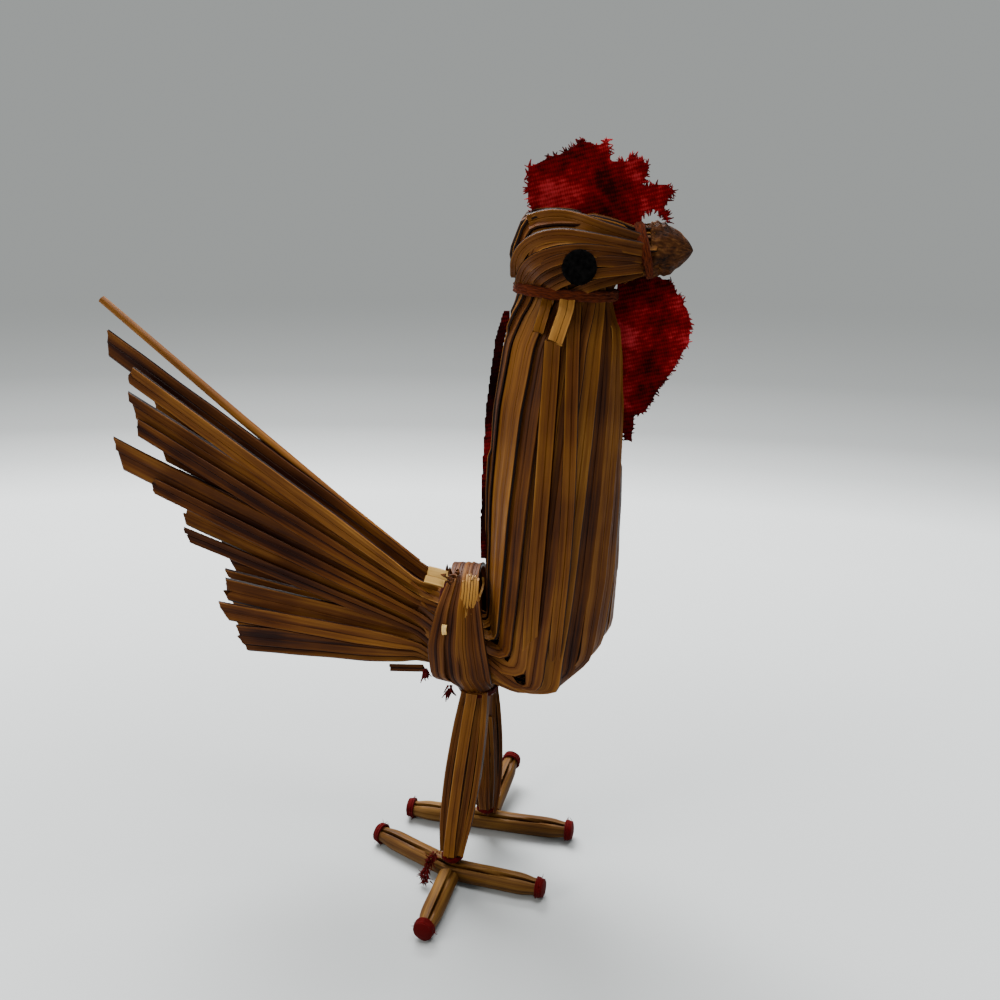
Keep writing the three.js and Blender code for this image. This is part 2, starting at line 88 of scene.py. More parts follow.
# %% [markdown]
# ## The stage and the light
# A small craft object stands on a pale sheet under soft light that comes from above and behind.
# One wide disc is enough for the sheet. Far out its finish changes into the same plain glow as the
# world behind it, so no horizon shows and it looks the same from every side. Large area lights
# make soft shadows under the feet, and round the middle the sheet's colour is painted darker as a
# soft pool of painted shadow.
# %% Floor, lights and camera
CENTRE = (cad_box[0] + cad_box[1]) / 2
FAR_GREY = (0.362, 0.378, 0.372)


def new_finish(name, roughness=0.6):
    """An empty material and its node tree."""
    finish = bpy.data.materials.new(name)
    finish.use_nodes = True
    shader = finish.node_tree.nodes["Principled BSDF"]
    shader.inputs["Roughness"].default_value = roughness
    shader.inputs["Specular IOR Level"].default_value = 0.4
    return finish, finish.node_tree.nodes, finish.node_tree.links, shader


def ramp(nodes, stops):
    """A colour ramp with (place, grey or colour) stops."""
    node = nodes.new("ShaderNodeValToRGB")
    elements = node.color_ramp.elements
    while len(elements) < len(stops):
        elements.new(0.5)
    for element, (place, colour) in zip(elements, stops):
        element.position = place
        element.color = (*colour, 1) if hasattr(colour, "__len__") else (colour, colour, colour, 1)
    return node


def paper_finish():
    finish, nodes, links, shader = new_finish("pale_paper", 0.9)
    place = nodes.new("ShaderNodeTexCoord")
    squash = nodes.new("ShaderNodeVectorMath")
    squash.operation = "MULTIPLY"
    squash.inputs[1].default_value = (0.6, 1, 1)
    length = nodes.new("ShaderNodeVectorMath")
    length.operation = "LENGTH"
    links.new(place.outputs["Object"], squash.inputs[0])
    links.new(squash.outputs["Vector"], length.inputs[0])
    sheet, soft = Vector((0.475, 0.493, 0.496)), Vector(FAR_GREY)
    # Near the middle the sheet's colour is painted darker, a soft pool of painted shadow under the bird; further out
    # it is the plain sheet, then it fades into the glow.
    steps = [(0.0, 0.76, 0.0), (0.045, 0.80, 0.0), (0.10, 0.93, 0.0), (0.16, 1.0, 0.0), (0.215, 1.0, 0.0),
             (0.27, 0.56, 0.44), (0.325, 0.28, 0.72), (0.46, 0.11, 0.89), (0.85, 0.0, 1.0)]
    sheet_and_painted_shadow = ramp(nodes, [(far, sheet * share) for far, share, _ in steps])
    glow = ramp(nodes, [(far, soft * share) for far, _, share in steps])
    for colours, socket in ((sheet_and_painted_shadow, "Base Color"), (glow, "Emission Color")):
        links.new(length.outputs["Value"], colours.inputs["Fac"])
        links.new(colours.outputs["Color"], shader.inputs[socket])
    shader.inputs["Emission Strength"].default_value = 1.0
    shader.inputs["Specular IOR Level"].default_value = 0.0
    return finish


bm = bmesh.new()
bmesh.ops.create_circle(bm, cap_ends=True, segments=64, radius=4.0)
floor_mesh = bpy.data.meshes.new("floor")
bm.to_mesh(floor_mesh)
bm.free()
floor = bpy.data.objects.new("floor", floor_mesh)
bpy.context.scene.collection.objects.link(floor)
floor_mesh.materials.append(paper_finish())


def area_light(name, place, size, energy, colour=(1, 1, 1)):
    lamp = bpy.data.lights.new(name, "AREA")
    lamp.energy, lamp.size, lamp.color = energy, size, colour
    holder = bpy.data.objects.new(name, lamp)
    bpy.context.scene.collection.objects.link(holder)
    holder.location = place
    towards = CENTRE - Vector(place)
    holder.rotation_euler = towards.to_track_quat("-Z", "Y").to_euler()


area_light("window_behind", (-0.16, 0.34, 0.62), 0.40, 15.0)
area_light("ceiling", (0.10, 0.0, 0.75), 0.45, 7.0)
area_light("room_left", (-0.62, -0.42, 0.40), 0.30, 4.2, (1.0, 0.96, 0.90))
world = bpy.data.worlds.new("room")
world.use_nodes = True
world.node_tree.nodes["Background"].inputs["Color"].default_value = (*FAR_GREY, 1)
world.node_tree.nodes["Background"].inputs["Strength"].default_value = 1.0
bpy.context.scene.world = world

lens = bpy.data.cameras.new("camera")
lens.lens, lens.sensor_width, lens.clip_start = 36, 36, 0.01
camera = bpy.data.objects.new("camera", lens)
bpy.context.scene.collection.objects.link(camera)
camera.location = (0.040351, -0.153035, 0.1186)
camera.rotation_euler = (math.radians(72), 0, math.radians(8))
bpy.context.scene.camera = camera
print("camera at", [round(c, 3) for c in camera.location])

# %% [markdown]
# ## The finish of dry straw
# Crushed straw is satin, never one brown: each stalk has its own tone, long thin fibres run along
# it, and darker streaks follow them. Every straw piece below carries a UV map called run, in
# millimetres along and across the stalk, and an attribute called tone. The fibres are two noises
# stretched along the run, so they follow every bend.
# %% Straw finish


def stretched_noise(nodes, links, along, across, detail=3.0):
    """Noise drawn out along the run of a piece; along and across are its scales per mm."""
    run = nodes.new("ShaderNodeUVMap")
    run.uv_map = "run"
    stretch = nodes.new("ShaderNodeMapping")
    stretch.inputs["Scale"].default_value = (along, across, 1)
    grain = nodes.new("ShaderNodeTexNoise")
    grain.inputs["Scale"].default_value = 1.0
    grain.inputs["Detail"].default_value = detail
    links.new(run.outputs["UV"], stretch.inputs["Vector"])
    links.new(stretch.outputs["Vector"], grain.inputs["Vector"])
    return grain


def add_up(nodes, links, parts, start=0.0):
    """Adds weighted (socket, weight, middle) parts into one number."""
    total = None
    for socket, weight, middle in parts:
        step = nodes.new("ShaderNodeMath")
        step.operation = "MULTIPLY_ADD"
        step.inputs[1].default_value = weight
        step.inputs[2].default_value = start - weight * middle
        links.new(socket, step.inputs[0])
        if total:
            join = nodes.new("ShaderNodeMath")
            join.operation = "ADD"
            links.new(total, join.inputs[0])
            links.new(step.outputs["Value"], join.inputs[1])
            total = join.outputs["Value"]
        else:
            total = step.outputs["Value"]
        start = 0.0
    return total


RUN_WIDTH = 7.5
# Painted light and shade across a crushed straw: its rims, which lie in the gaps, and the one crease
# along its face are painted dark as shade, and the folded edges beside the rims are painted lighter as highlights.
PAINTED_GAP_SHADE_AND_EDGE_LIGHT = [(0.0, 0.0), (0.055, 0.05), (0.085, 0.74), (0.13, 0.58), (0.255, 0.52), (0.272, 0.30), (0.290, 0.56),
           (0.38, 0.52), (0.41, 0.64), (0.445, 0.10), (0.5, 0.0), (0.58, 0.6), (0.75, 0.35), (0.92, 0.6), (0.96, 0.0),
           (1.0, 0.52)]


def straw_finish(name, stops, roughness=0.50):
    finish, nodes, links, shader = new_finish(name, roughness)
    tone = nodes.new("ShaderNodeAttribute")
    tone.attribute_name = "tone"
    fibre = stretched_noise(nodes, links, 0.08, 4.5, 2.0)
    streak = stretched_noise(nodes, links, 0.035, 1.5)
    run = nodes.new("ShaderNodeUVMap")
    run.uv_map = "run"
    parts = nodes.new("ShaderNodeSeparateXYZ")
    links.new(run.outputs["UV"], parts.inputs["Vector"])
    across = nodes.new("ShaderNodeMath")
    across.operation = "DIVIDE"
    across.inputs[1].default_value = RUN_WIDTH
    links.new(parts.outputs["Y"], across.inputs[0])
    # Painted shade in the gaps and along the crease, painted highlights on the folded edges, read across the run.
    painted_shade_and_light = ramp(nodes, PAINTED_GAP_SHADE_AND_EDGE_LIGHT)
    links.new(across.outputs["Value"], painted_shade_and_light.inputs["Fac"])
    place = nodes.new("ShaderNodeTexCoord")
    patch = nodes.new("ShaderNodeTexNoise")
    patch.inputs["Scale"].default_value = 90
    links.new(place.outputs["Object"], patch.inputs["Vector"])
    level = add_up(nodes, links, [(tone.outputs["Fac"], 0.75, 0.5), (fibre.outputs["Fac"], 0.42, 0.5),
                                  (streak.outputs["Fac"], 0.5, 0.5), (patch.outputs["Fac"], 0.4, 0.5),
                                  (painted_shade_and_light.outputs["Color"], 1.0, 0.5)], 0.5)
    colour = ramp(nodes, stops)
    links.new(level, colour.inputs["Fac"])
    links.new(colour.outputs["Color"], shader.inputs["Base Color"])
    sheen = nodes.new("ShaderNodeMapRange")
    sheen.inputs["To Min"].default_value = roughness - 0.12
    sheen.inputs["To Max"].default_value = roughness + 0.22
    links.new(fibre.outputs["Fac"], sheen.inputs["Value"])
    links.new(sheen.outputs["Result"], shader.inputs["Roughness"])
    relief = add_up(nodes, links, [(fibre.outputs["Fac"], 0.3, 0.0), (streak.outputs["Fac"], 1.2, 0.0)])
    bump = nodes.new("ShaderNodeBump")
    bump.inputs["Strength"].default_value = 0.40
    bump.inputs["Distance"].default_value = 0.00010
    links.new(relief, bump.inputs["Height"])
    shader.inputs["Specular IOR Level"].default_value = 0.10
    links.new(bump.outputs["Normal"], shader.inputs["Normal"])
    return finish


STRAW = straw_finish("crushed_straw", [
    (0.0, (0.0015, 0.0002, 0.0001)), (0.25, (0.015, 0.0024, 0.0003)), (0.46, (0.069, 0.0190, 0.0015)),
    (0.70, (0.160, 0.060, 0.0070)), (1.0, (0.400, 0.190, 0.040))])
TOE_STRAW = straw_finish("round_straw", [
    (0.0, (0.0015, 0.0003, 0.0001)), (0.25, (0.015, 0.0040, 0.0006)), (0.46, (0.070, 0.0280, 0.0040)),
    (0.70, (0.160, 0.078, 0.0160)), (1.0, (0.380, 0.22, 0.070))])
BRIGHT_STRAW = straw_finish("bright_inner_straw", [
    (0.0, (0.10, 0.035, 0.005)), (0.45, (0.36, 0.18, 0.035)), (1.0, (0.70, 0.46, 0.16))], 0.34)
print("straw finishes:", STRAW.name, TOE_STRAW.name, BRIGHT_STRAW.name)

# %% [markdown]
# ## Reading a straw from its solid
# A plain solid straw is a box bar: one ring of four corners at every bend. Walking outwards from
# an end cap, corner by corner along the edges, finds these rings in order. Each ring then gives
# its middle, the half width across and the half thickness.
# %% Rings of a solid bar


def merged_copy(node):
    bm = bmesh.new()
    bm.from_mesh(frame["nodes"][node].data)
    bmesh.ops.remove_doubles(bm, verts=bm.verts, dist=1e-6)
    return bm


def levels_from(start):
    """Vertices in order of how many edges they are from the start."""
    seen, level, levels = set(start), list(start), []
    while level:
        levels.append(level)
        following = []
        for vert in level:
            for edge in vert.link_edges:
                other = edge.other_vert(vert)
                if other not in seen:
                    seen.add(other)
                    following.append(other)
        level = following
    return levels


def walk_rings(bm, corners):
    """The rings of a bar with four corners, or of a round bar whose caps have a middle point."""
    if corners == 4:
        starts = [{v for face in edge.link_faces for v in face.verts} for edge in bm.edges]
    else:
        starts = [{vert} for vert in bm.verts if len(vert.link_edges) == corners]
    best, longest = None, 0.0
    for start in starts:
        levels = levels_from(start)
        rings = levels if corners == 4 else levels[1:-1]
        if all(len(ring) == corners for ring in rings) and len(rings) > 1:
            if corners == 4 or (len(levels[0]) == 1 and len(levels[-1]) == 1):
                if len(rings) > 2:
                    return rings
                reach = sum((a.co - b.co).length for a, b in itertools.product(*rings))
                if reach > longest:
                    best, longest = rings, reach
    return best


def linked(a, b):
    return any(edge.other_vert(a) is b for edge in a.link_edges)


def in_step(ring, following):
    """Orders the next ring's corners to match this ring's, along the bar's own edges."""
    best, least = None, 1e9
    for trial in itertools.permutations(following):
        if all(linked(a, b) for a, b in zip(ring, trial)):
            cost = sum((a.co - b.co).length_squared for a, b in zip(ring, trial))
            if cost < least:
                best, least = list(trial), cost
    return best


def around(ring):
    """The four corners of a ring in order around it."""
    first = ring[0]
    last = max(ring[1:], key=lambda vert: (vert.co - first.co).length)
    sides = [vert for vert in ring[1:] if vert is not last]
    return [first, sides[0], last, sides[1]]


def read_straw(node):
    """(middle, half width, half thickness) vectors for each bend of a solid straw."""
    bm = merged_copy(node)
    rings = walk_rings(bm, 4)
    order = {1: around(rings[1])}
    for k in range(2, len(rings)):
        order[k] = in_step(order[k - 1], rings[k])
    order[0] = in_step(order[1], rings[0])
    bars = [[v.co.copy() for v in order[k]] for k in range(len(rings))]
    bm.free()
    first = sum((b[1] - b[0]).length + (b[2] - b[3]).length for b in bars)
    second = sum((b[2] - b[1]).length + (b[3] - b[0]).length for b in bars)
    out = []
    for a, b, c, d in bars:
        middle = (a + b + c + d) / 4
        one, two = (b - a + c - d) / 4, (d - a + c - b) / 4
        out.append((middle, one, two) if first > second else (middle, two, one))
    return out


straw_bends = {node: read_straw(node) for node in BODY_STRAWS + LEG_STRAWS}
print("bends read:", {n: len(b) for n, b in list(straw_bends.items())[:2]})

# %% [markdown]
# ## Rolling a straw
# A crushed stalk is a bar with the same outline all along: raised rims where its wall is folded,
# and a shallow valley between them. The quickest way to make such a bar is to lay a flat grid
# out, one row for each station along the stalk, roll every row round the outline, and close the
# seam. The grid's own UVs then follow the stalk for free.
# %% Roll a grid into a bar


def roll(bm, rows, columns, place, size=(1, 1), first=0.0):
    """A grid rolled into a closed bar. place(row, column) gives each corner; size scales its UV
    and first is where the UV starts across."""
    run = bm.loops.layers.uv.get("run") or bm.loops.layers.uv.new("run")
    verts = bmesh.ops.create_grid(bm, x_segments=rows, y_segments=columns, size=1, calc_uvs=True)["verts"]
    faces = {face for vert in verts for face in vert.link_faces}
    for face in faces:
        for loop in face.loops:
            loop[run].uv = ((loop.vert.co.x + 1) / 2 * size[0], first + (loop.vert.co.y + 1) / 2 * size[1])
    for vert in verts:
        vert.co = place(round((vert.co.x + 1) / 2 * rows), round((vert.co.y + 1) / 2 * columns) % columns)
    bmesh.ops.remove_doubles(bm, verts=verts, dist=1e-8)
    rims = [e for f in faces if f.is_valid for e in f.edges if e.is_boundary]
    caps = bmesh.ops.holes_fill(bm, edges=list(set(rims)), sides=0)["faces"]
    bmesh.ops.recalc_face_normals(bm, faces=[f for f in faces if f.is_valid] + caps)


def finish_piece(bm, name, finish, slot, stands_for=(), smooth_angle=40):
    """Turns a bmesh into a named piece that rides on the rooster."""
    mesh = bpy.data.meshes.new(name)
    bm.to_mesh(mesh)
    bm.free()
    mesh.shade_smooth()
    mesh.set_sharp_from_angle(angle=math.radians(smooth_angle))
    mesh.materials.append(finish)
    piece = bpy.data.objects.new(name, mesh)
    bpy.context.scene.collection.objects.link(piece)
    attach(piece, "root")
    if stands_for:
        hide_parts(*stands_for)
    return piece


def relax(rows):
    """Rounds the bends a little, keeping both ends."""
    middle = [tuple((a + 2 * b + c) / 4 for a, b, c in zip(rows[k - 1], rows[k], rows[k + 1]))
              for k in range(1, len(rows) - 1)]
    return [rows[0], *middle, rows[-1]]


def restation(bends, step=2.2 * MM, passes=2):
    """Puts stations closer together along a straw and rounds its bends."""
    rows = [bends[0]]
    for start, end in zip(bends, bends[1:]):
        count = max(1, math.ceil((end[0] - start[0]).length / step))
        rows += [tuple(a.lerp(b, k / count) for a, b in zip(start, end)) for k in range(1, count + 1)]
    for _ in range(passes):
        rows = relax(rows)
    return rows


# Across the straw from rim to rim, and how high its wall stands there.
OUTLINE = [(-1.0, -0.2), (-0.96, 0.30), (-0.86, 0.86), (-0.64, 0.80), (-0.30, 0.72), (0.02, 0.64),
           (0.09, 0.40), (0.16, 0.60), (0.55, 0.56), (0.84, 0.60), (0.95, 0.10), (1.0, -0.3)]
SECTION = OUTLINE + [(u, -h) for u, h in OUTLINE[-2:0:-1]]


def fill_gaps(straws, limit, room=1.6 * MM, only=lambda point: True):
    """Widens each straw where its neighbours in the bundle would leave a gap beside it."""
    places = np.array([row[0] for rows in straws for row in rows])
    owners = np.array([number for number, rows in enumerate(straws) for _ in rows])
    out = []
    for number, rows in enumerate(straws):
        full, halves = max(wide.length for _, wide, _ in rows), []
        for k, (middle, wide, deep) in enumerate(rows):
            along = (rows[min(k + 1, len(rows) - 1)][0] - rows[max(k - 1, 0)][0]).normalized()
            off = places - np.array(middle)
            close = (owners != number) & (abs(off @ np.array(along)) < room)
            close &= abs(off @ np.array(deep.normalized())) < room
            aside = off[close] @ np.array(wide.normalized())
            gaps = [min((g for g in way * aside if g > 0.3 * MM), default=0) for way in (1, -1)]
            need = max([0.56 * g for g in gaps if g < 5 * MM] + [0]) if only(middle) else 0
            halves.append(min(max(need, wide.length), limit * full))
        for _ in range(2):
            halves = [halves[0]] + [(a + 2 * b + c) / 4 for a, b, c in zip(halves, halves[1:], halves[2:])] + [halves[-1]]
        out.append([(middle, wide.normalized() * max(half, wide.length), deep)
                    for half, (middle, wide, deep) in zip(halves, rows)])
    return out


def straw_rows(rows, widen, lift, spread=0.0, raise_by=0.0):
    """Widens the stations so that neighbours overlap, and tips each straw over the next one.
    spread is the share of its own full width that the straw keeps where it is squeezed, and
    raise_by lifts the whole straw off the bundle."""
    full = max(wide.length for _, wide, _ in rows)
    out = []
    for k, (middle, wide, deep) in enumerate(rows):
        before, after = rows[max(k - 1, 0)][0], rows[min(k + 1, len(rows) - 1)][0]
        along = (after - before).normalized()
        half = max(wide.length + widen, spread * full)
        turn = Matrix.Rotation(math.radians(lift), 3, along)
        middle = middle + deep.normalized() * (raise_by if deep.y * middle.y > 0 else -raise_by)
        out.append((middle, turn @ wide * (half / wide.length), turn @ deep, along))
    return out


def straw_length(rows):
    return sum((b[0] - a[0]).length for a, b in zip(rows, rows[1:]))


def roll_straw(bm, rows, tone, seed, jag=0.5 * MM):
    """One crushed straw with its own tone, uneven rims and ragged ends."""
    dice = random.Random(seed)
    count = len(rows) - 1
    start = len(bm.verts)
    ends = []
    for way in (1, -1):
        split = [dice.uniform(0, 3.2) * jag * way, dice.uniform(0, 3.2) * jag * way]
        split[dice.randrange(2)] = 0.0
        ends.append([split[u > 0.1] + dice.uniform(0, 0.6) * jag * way for u, _ in OUTLINE])

    def place(row, column):
        middle, wide, deep, along = rows[row]
        u, h = SECTION[column]
        wobble = 1 + 0.05 * noise.noise(Vector((row * 0.21, u * 3, seed * 1.7)))
        point = middle + wide * u * wobble + deep * h * (1 + 0.25 * noise.noise(Vector((row * 0.3, u * 5, seed))))
        if row in (0, count):
            nearest = min(range(len(OUTLINE)), key=lambda n: abs(OUTLINE[n][0] - u))
            point = point + along * ends[row == count][nearest]
        return point

    length = straw_length(rows) / MM
    roll(bm, count, len(SECTION), place, (length, RUN_WIDTH))
    layer = bm.verts.layers.float.get("tone") or bm.verts.layers.float.new("tone")
    for vert in list(bm.verts)[start:]:
        tail = 0.15 * min(1.0, max(0.0, (CENTRE.x - 2 * MM - vert.co.x) / (20 * MM)))
        vert[layer] = tone - tail + 0.12 * noise.noise(vert.co * 90)


print("straw outline:", len(SECTION), "points round")

# %% [markdown]
# ## The body straws
# Twenty-two straws, one after another around the bundle. Bought straw is never one colour, so the
# tones go light and dark by turns with a little chance in them.
# %% Body straws
TONES = [0.56, 0.46, 0.60, 0.50, 0.40, 0.60, 0.44, 0.58, 0.46, 0.54, 0.60,
         0.44, 0.56, 0.40, 0.60, 0.50, 0.57, 0.44, 0.54, 0.60, 0.46, 0.53]
SADDLE_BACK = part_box("leg_and_saddle_straw_1")[0].x


def shape_tail(rows):
    """Behind the saddle the near feathers shrink apart and the far ones fill the gaps behind."""
    share = 0.90 if rows[-1][0].y < CENTRE.y else 1.35
    return [(middle, wide * (share if middle.x < SADDLE_BACK - 2 * MM else 1), deep) for middle, wide, deep in rows]


bundle = [bends if bends[0][0].x > bends[-1][0].x else bends[::-1]
          for bends in (straw_bends[node] for node in BODY_STRAWS)]
bundle = fill_gaps([restation(bends, 1.5 * MM, 1) for bends in bundle], 1.45,
                   only=lambda point: point.x > SADDLE_BACK)
for number, rows in enumerate(bundle):
    bm = bmesh.new()
    lift, off = ((14, 0.20), (5, -0.22), (10, 0.05))[number % 3]
    roll_straw(bm, straw_rows(shape_tail(rows), 0.10 * MM, lift, 0.5, off * MM), TONES[number], number + 1)
    finish_piece(bm, "straw_" + BODY_STRAWS[number][-2:], STRAW, "straw", [BODY_STRAWS[number]], 28)
print("body straws made:", len(BODY_STRAWS))

# %% [markdown]
# ## Legs and saddle
# The same crushed straw again: five of them climb one leg, lie side by side over the back as the
# saddle and go down the other leg. They take darker tones than the neck's.
# %% Leg and saddle straws
LEG_TONES = [0.44, 0.35, 0.48, 0.30, 0.40]
legs = fill_gaps([restation(straw_bends[node], 1.3 * MM, 1) for node in LEG_STRAWS], 1.5)
for number, rows in enumerate(legs):
    bm = bmesh.new()
    roll_straw(bm, straw_rows(rows, 0.20 * MM, 8, 0.5), LEG_TONES[number], number + 40)
    finish_piece(bm, "leg_straw_" + LEG_STRAWS[number][-1], STRAW, "straw", [LEG_STRAWS[number]], 28)
print("leg straws made:", len(LEG_STRAWS))

# %% [markdown]
# ## Stubs and the thin stalk
# Cut ends of other straws stick out behind the saddle: a bright one that shows the glossy inside
# of the stalk, and a dark one below the tail.
# %% Cut stubs
for node, name, finish, slot, tone in (("pale_cut_stub", "bright_stub", BRIGHT_STRAW, "pale_straw", 0.6),
                                       ("dark_cut_stub", "dark_stub", STRAW, "straw", 0.25)):
    bm = bmesh.new()
    rows = straw_rows(restation(read_straw(node), 0.5 * MM, 1), 0.05 * MM, 0)
    roll_straw(bm, rows, tone, 61, 0.12 * MM)
    finish_piece(bm, name, finish, slot, [node])


def read_round(node, corners):
    """Middle and mean radius of each ring of a round solid bar."""
    bm = merged_copy(node)
    out = []
    for ring in walk_rings(bm, corners):
        middle = sum((v.co for v in ring), Vector()) / len(ring)
        out.append((middle, sum((v.co - middle).length for v in ring) / len(ring)))
    bm.free()
    return out


def restation_round(rings, step=1.2 * MM, passes=2):
    rows = [rings[0]]
    for start, end in zip(rings, rings[1:]):
        count = max(1, math.ceil((end[0] - start[0]).length / step))
        rows += [(start[0].lerp(end[0], k / count), start[1] + (end[1] - start[1]) * k / count)
                 for k in range(1, count + 1)]
    for _ in range(passes):
        inner = [((rows[k - 1][0] + 2 * rows[k][0] + rows[k + 1][0]) / 4,
                  (rows[k - 1][1] + 2 * rows[k][1] + rows[k + 1][1]) / 4) for k in range(1, len(rows) - 1)]
        rows = [rows[0], *inner, rows[-1]]
    return rows


def frames_along(points, up):
    """At each point: across, top and along, with top kept as near to up as the path lets it."""
    out = []
    for k, point in enumerate(points):
        along = (points[min(k + 1, len(points) - 1)] - points[max(k - 1, 0)]).normalized()
        top = (up - along * up.dot(along)).normalized()
        out.append((point, along.cross(top), top, along))
    return out


def roll_round(bm, rows, up, columns, shape, tone, uv_width=5.0):
    """A round bar; shape(turn, row) multiplies the radius around it."""
    frames = frames_along([row[0] for row in rows], up)
    start = len(bm.verts)

    def place(row, column):
        point, across, top, _ = frames[row]
        turn = 2 * math.pi * column / columns
        radius = rows[row][1] * shape(turn, row)
        return point + across * math.cos(turn) * radius + top * math.sin(turn) * radius

    length = sum((b[0] - a[0]).length for a, b in zip(rows, rows[1:])) / MM
    roll(bm, len(rows) - 1, columns, place, (length, uv_width), RUN_WIDTH)
    layer = bm.verts.layers.float.get("tone") or bm.verts.layers.float.new("tone")
    for vert in list(bm.verts)[start:]:
        point, radius = min(rows, key=lambda row: (row[0] - vert.co).length_squared)
        # Points pulled in towards the axis, such as the inside of a toe's slit and the grooves between a cord's plies,
        # are painted darker as shade.
        painted_shade_depth = max(0.0, 0.85 - (vert.co - point).length / radius) if len(rows) > 4 else 0.0
        vert[layer] = tone - 1.6 * painted_shade_depth + 0.15 * noise.noise(vert.co * 120)


bm = bmesh.new()
stalk = restation_round(read_round("thin_tail_stalk", 6), 2 * MM)
roll_round(bm, stalk, Vector((0, 0, 1)), 12,
           lambda turn, row: 1.0 - 0.12 * max(0.0, math.cos(turn - 1.2)) ** 6 + 0.03 * math.cos(3 * turn), 0.60, 2.0)
finish_piece(bm, "thin_stalk", STRAW, "straw", ["thin_tail_stalk"])
print("stubs and stalk made")

# %% [markdown]
# ## Loose strips on the head and neck
# The fold of the head is covered by a few wide strips that come up out of the neck tie, turn
# forward and run into the beak tie. They lie on the straws below, so each strip follows a short
# path drawn between the two ties, and a ray shot from the side finds how far out it lies there.
# One straw of the neck stands proud, and its cut end is bent over under the tie.
# %% Strips laid on the bundle


def skin_of(names):
    """A ray tree of finished pieces."""
    bm = bmesh.new()
    for name in names:
        bm.from_mesh(bpy.data.objects[name].data)
    tree = BVHTree.FromBMesh(bm)
    bm.free()
    return tree


def soften(points, passes=3):
    """Cuts the corners of a path of (x, z, proud) points, keeping both ends."""
    for _ in range(passes):
        cut = [points[0]]
        for a, b in zip(points, points[1:]):
            cut += [a.lerp(b, 0.25), a.lerp(b, 0.75)]
        points = cut + [points[-1]]
    return points


def laid_strip(bm, tree, path, side, half, tone, seed, thick=0.34 * MM, jag=0.15 * MM, eye=None):
    """A flat straw on the near (-1) or far (1) side; path holds (x, z, how far it stands proud).
    eye is the y that the rays start from, well outside the bird unless it is given."""
    points, depth = soften([Vector(p) for p in path]), None
    line = []
    for x, z, proud in points:
        hit = tree.ray_cast(Vector((x, side * 0.06 if eye is None else eye, z)), Vector((0, -side, 0)))[0]
        depth = hit.y if hit else depth
        line.append(Vector((x, (depth or CENTRE.y) + side * proud, z)))
    for _ in range(4):
        line = [line[0]] + [Vector((b.x, (a.y + b.y + c.y) / 3, b.z)) for a, b, c in zip(line, line[1:], line[2:])] + [line[-1]]
    rows = []
    for k, point in enumerate(line):
        along = (line[min(k + 1, len(line) - 1)] - line[max(k - 1, 0)]).normalized()
        out = Vector((0, side, 0))
        out = (out - along * out.dot(along)).normalized()
        rows.append((point, along.cross(out) * half * side, out * thick, along))
    roll_straw(bm, rows, tone, seed, jag)


def centre_of(node):
    low, high = (Vector(c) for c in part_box(node))
    return (low + high) / 2


NECK, BEAK = centre_of("neck_tie"), centre_of("beak_tie")


def by_ties(s, t, proud):
    """A place on the head: s runs from the neck tie to the beak tie, t from one's height to the other's."""
    return NECK.x + s * (BEAK.x - NECK.x), NECK.z + t * (BEAK.z - NECK.z), proud * MM


HEAD_STRIPS = [
    (1.25, 0.50, [(-0.46, 1.66, 0.1), (-0.20, 1.80, 0.25), (0.10, 1.76, 0.3), (0.48, 1.50, 0.3), (0.97, 1.20, 0.0)]),
    (1.05, 0.49, [(-0.62, 0.35, 0.2), (-0.60, 0.85, 0.4), (-0.40, 1.26, 0.5), (-0.08, 1.42, 0.5), (0.34, 1.32, 0.45), (0.97, 1.05, 0.0)]),
    (1.00, 0.42, [(-0.58, 0.12, 0.1), (-0.50, 0.62, 0.4), (-0.22, 0.97, 0.6), (0.27, 1.10, 0.6), (0.97, 0.88, 0.0)]),
    (0.80, 0.38, [(-0.51, -0.02, 0.1), (-0.42, 0.44, 0.5), (-0.14, 0.84, 0.65), (0.35, 0.98, 0.6), (0.97, 0.81, 0.0)]),
    (0.85, 0.36, [(-0.44, 0.0, 0.0), (-0.29, 0.42, 0.55), (0.03, 0.72, 0.7), (0.45, 0.84, 0.7), (0.97, 0.74, 0.0)]),
    (0.80, 0.46, [(-0.26, -0.05, 0.0), (-0.08, 0.28, 0.6), (0.34, 0.54, 0.8), (0.97, 0.62, 0.0)]),
    (0.80, 0.30, [(-0.36, -0.02, 0.0), (-0.20, 0.30, 0.35), (0.18, 0.64, 0.45), (0.97, 0.68, -0.1)]),
    (0.85, 0.38, [(0.0, -0.1, 0.0), (0.27, 0.16, 0.65), (0.55, 0.34, 0.8), (0.97, 0.54, 0.0)]),
]
body_skin = skin_of([o.name for o in bpy.data.objects if o.name.startswith("straw_")])
for side, place in ((-1, "near"), (1, "far")):
    bm = bmesh.new()
    for number, (half, tone, path) in enumerate(HEAD_STRIPS):
        laid_strip(bm, body_skin, [by_ties(*p) for p in path], side, half * MM, tone, 70 + number)
    finish_piece(bm, place + "_head_strips", STRAW, "straw", (), 28)

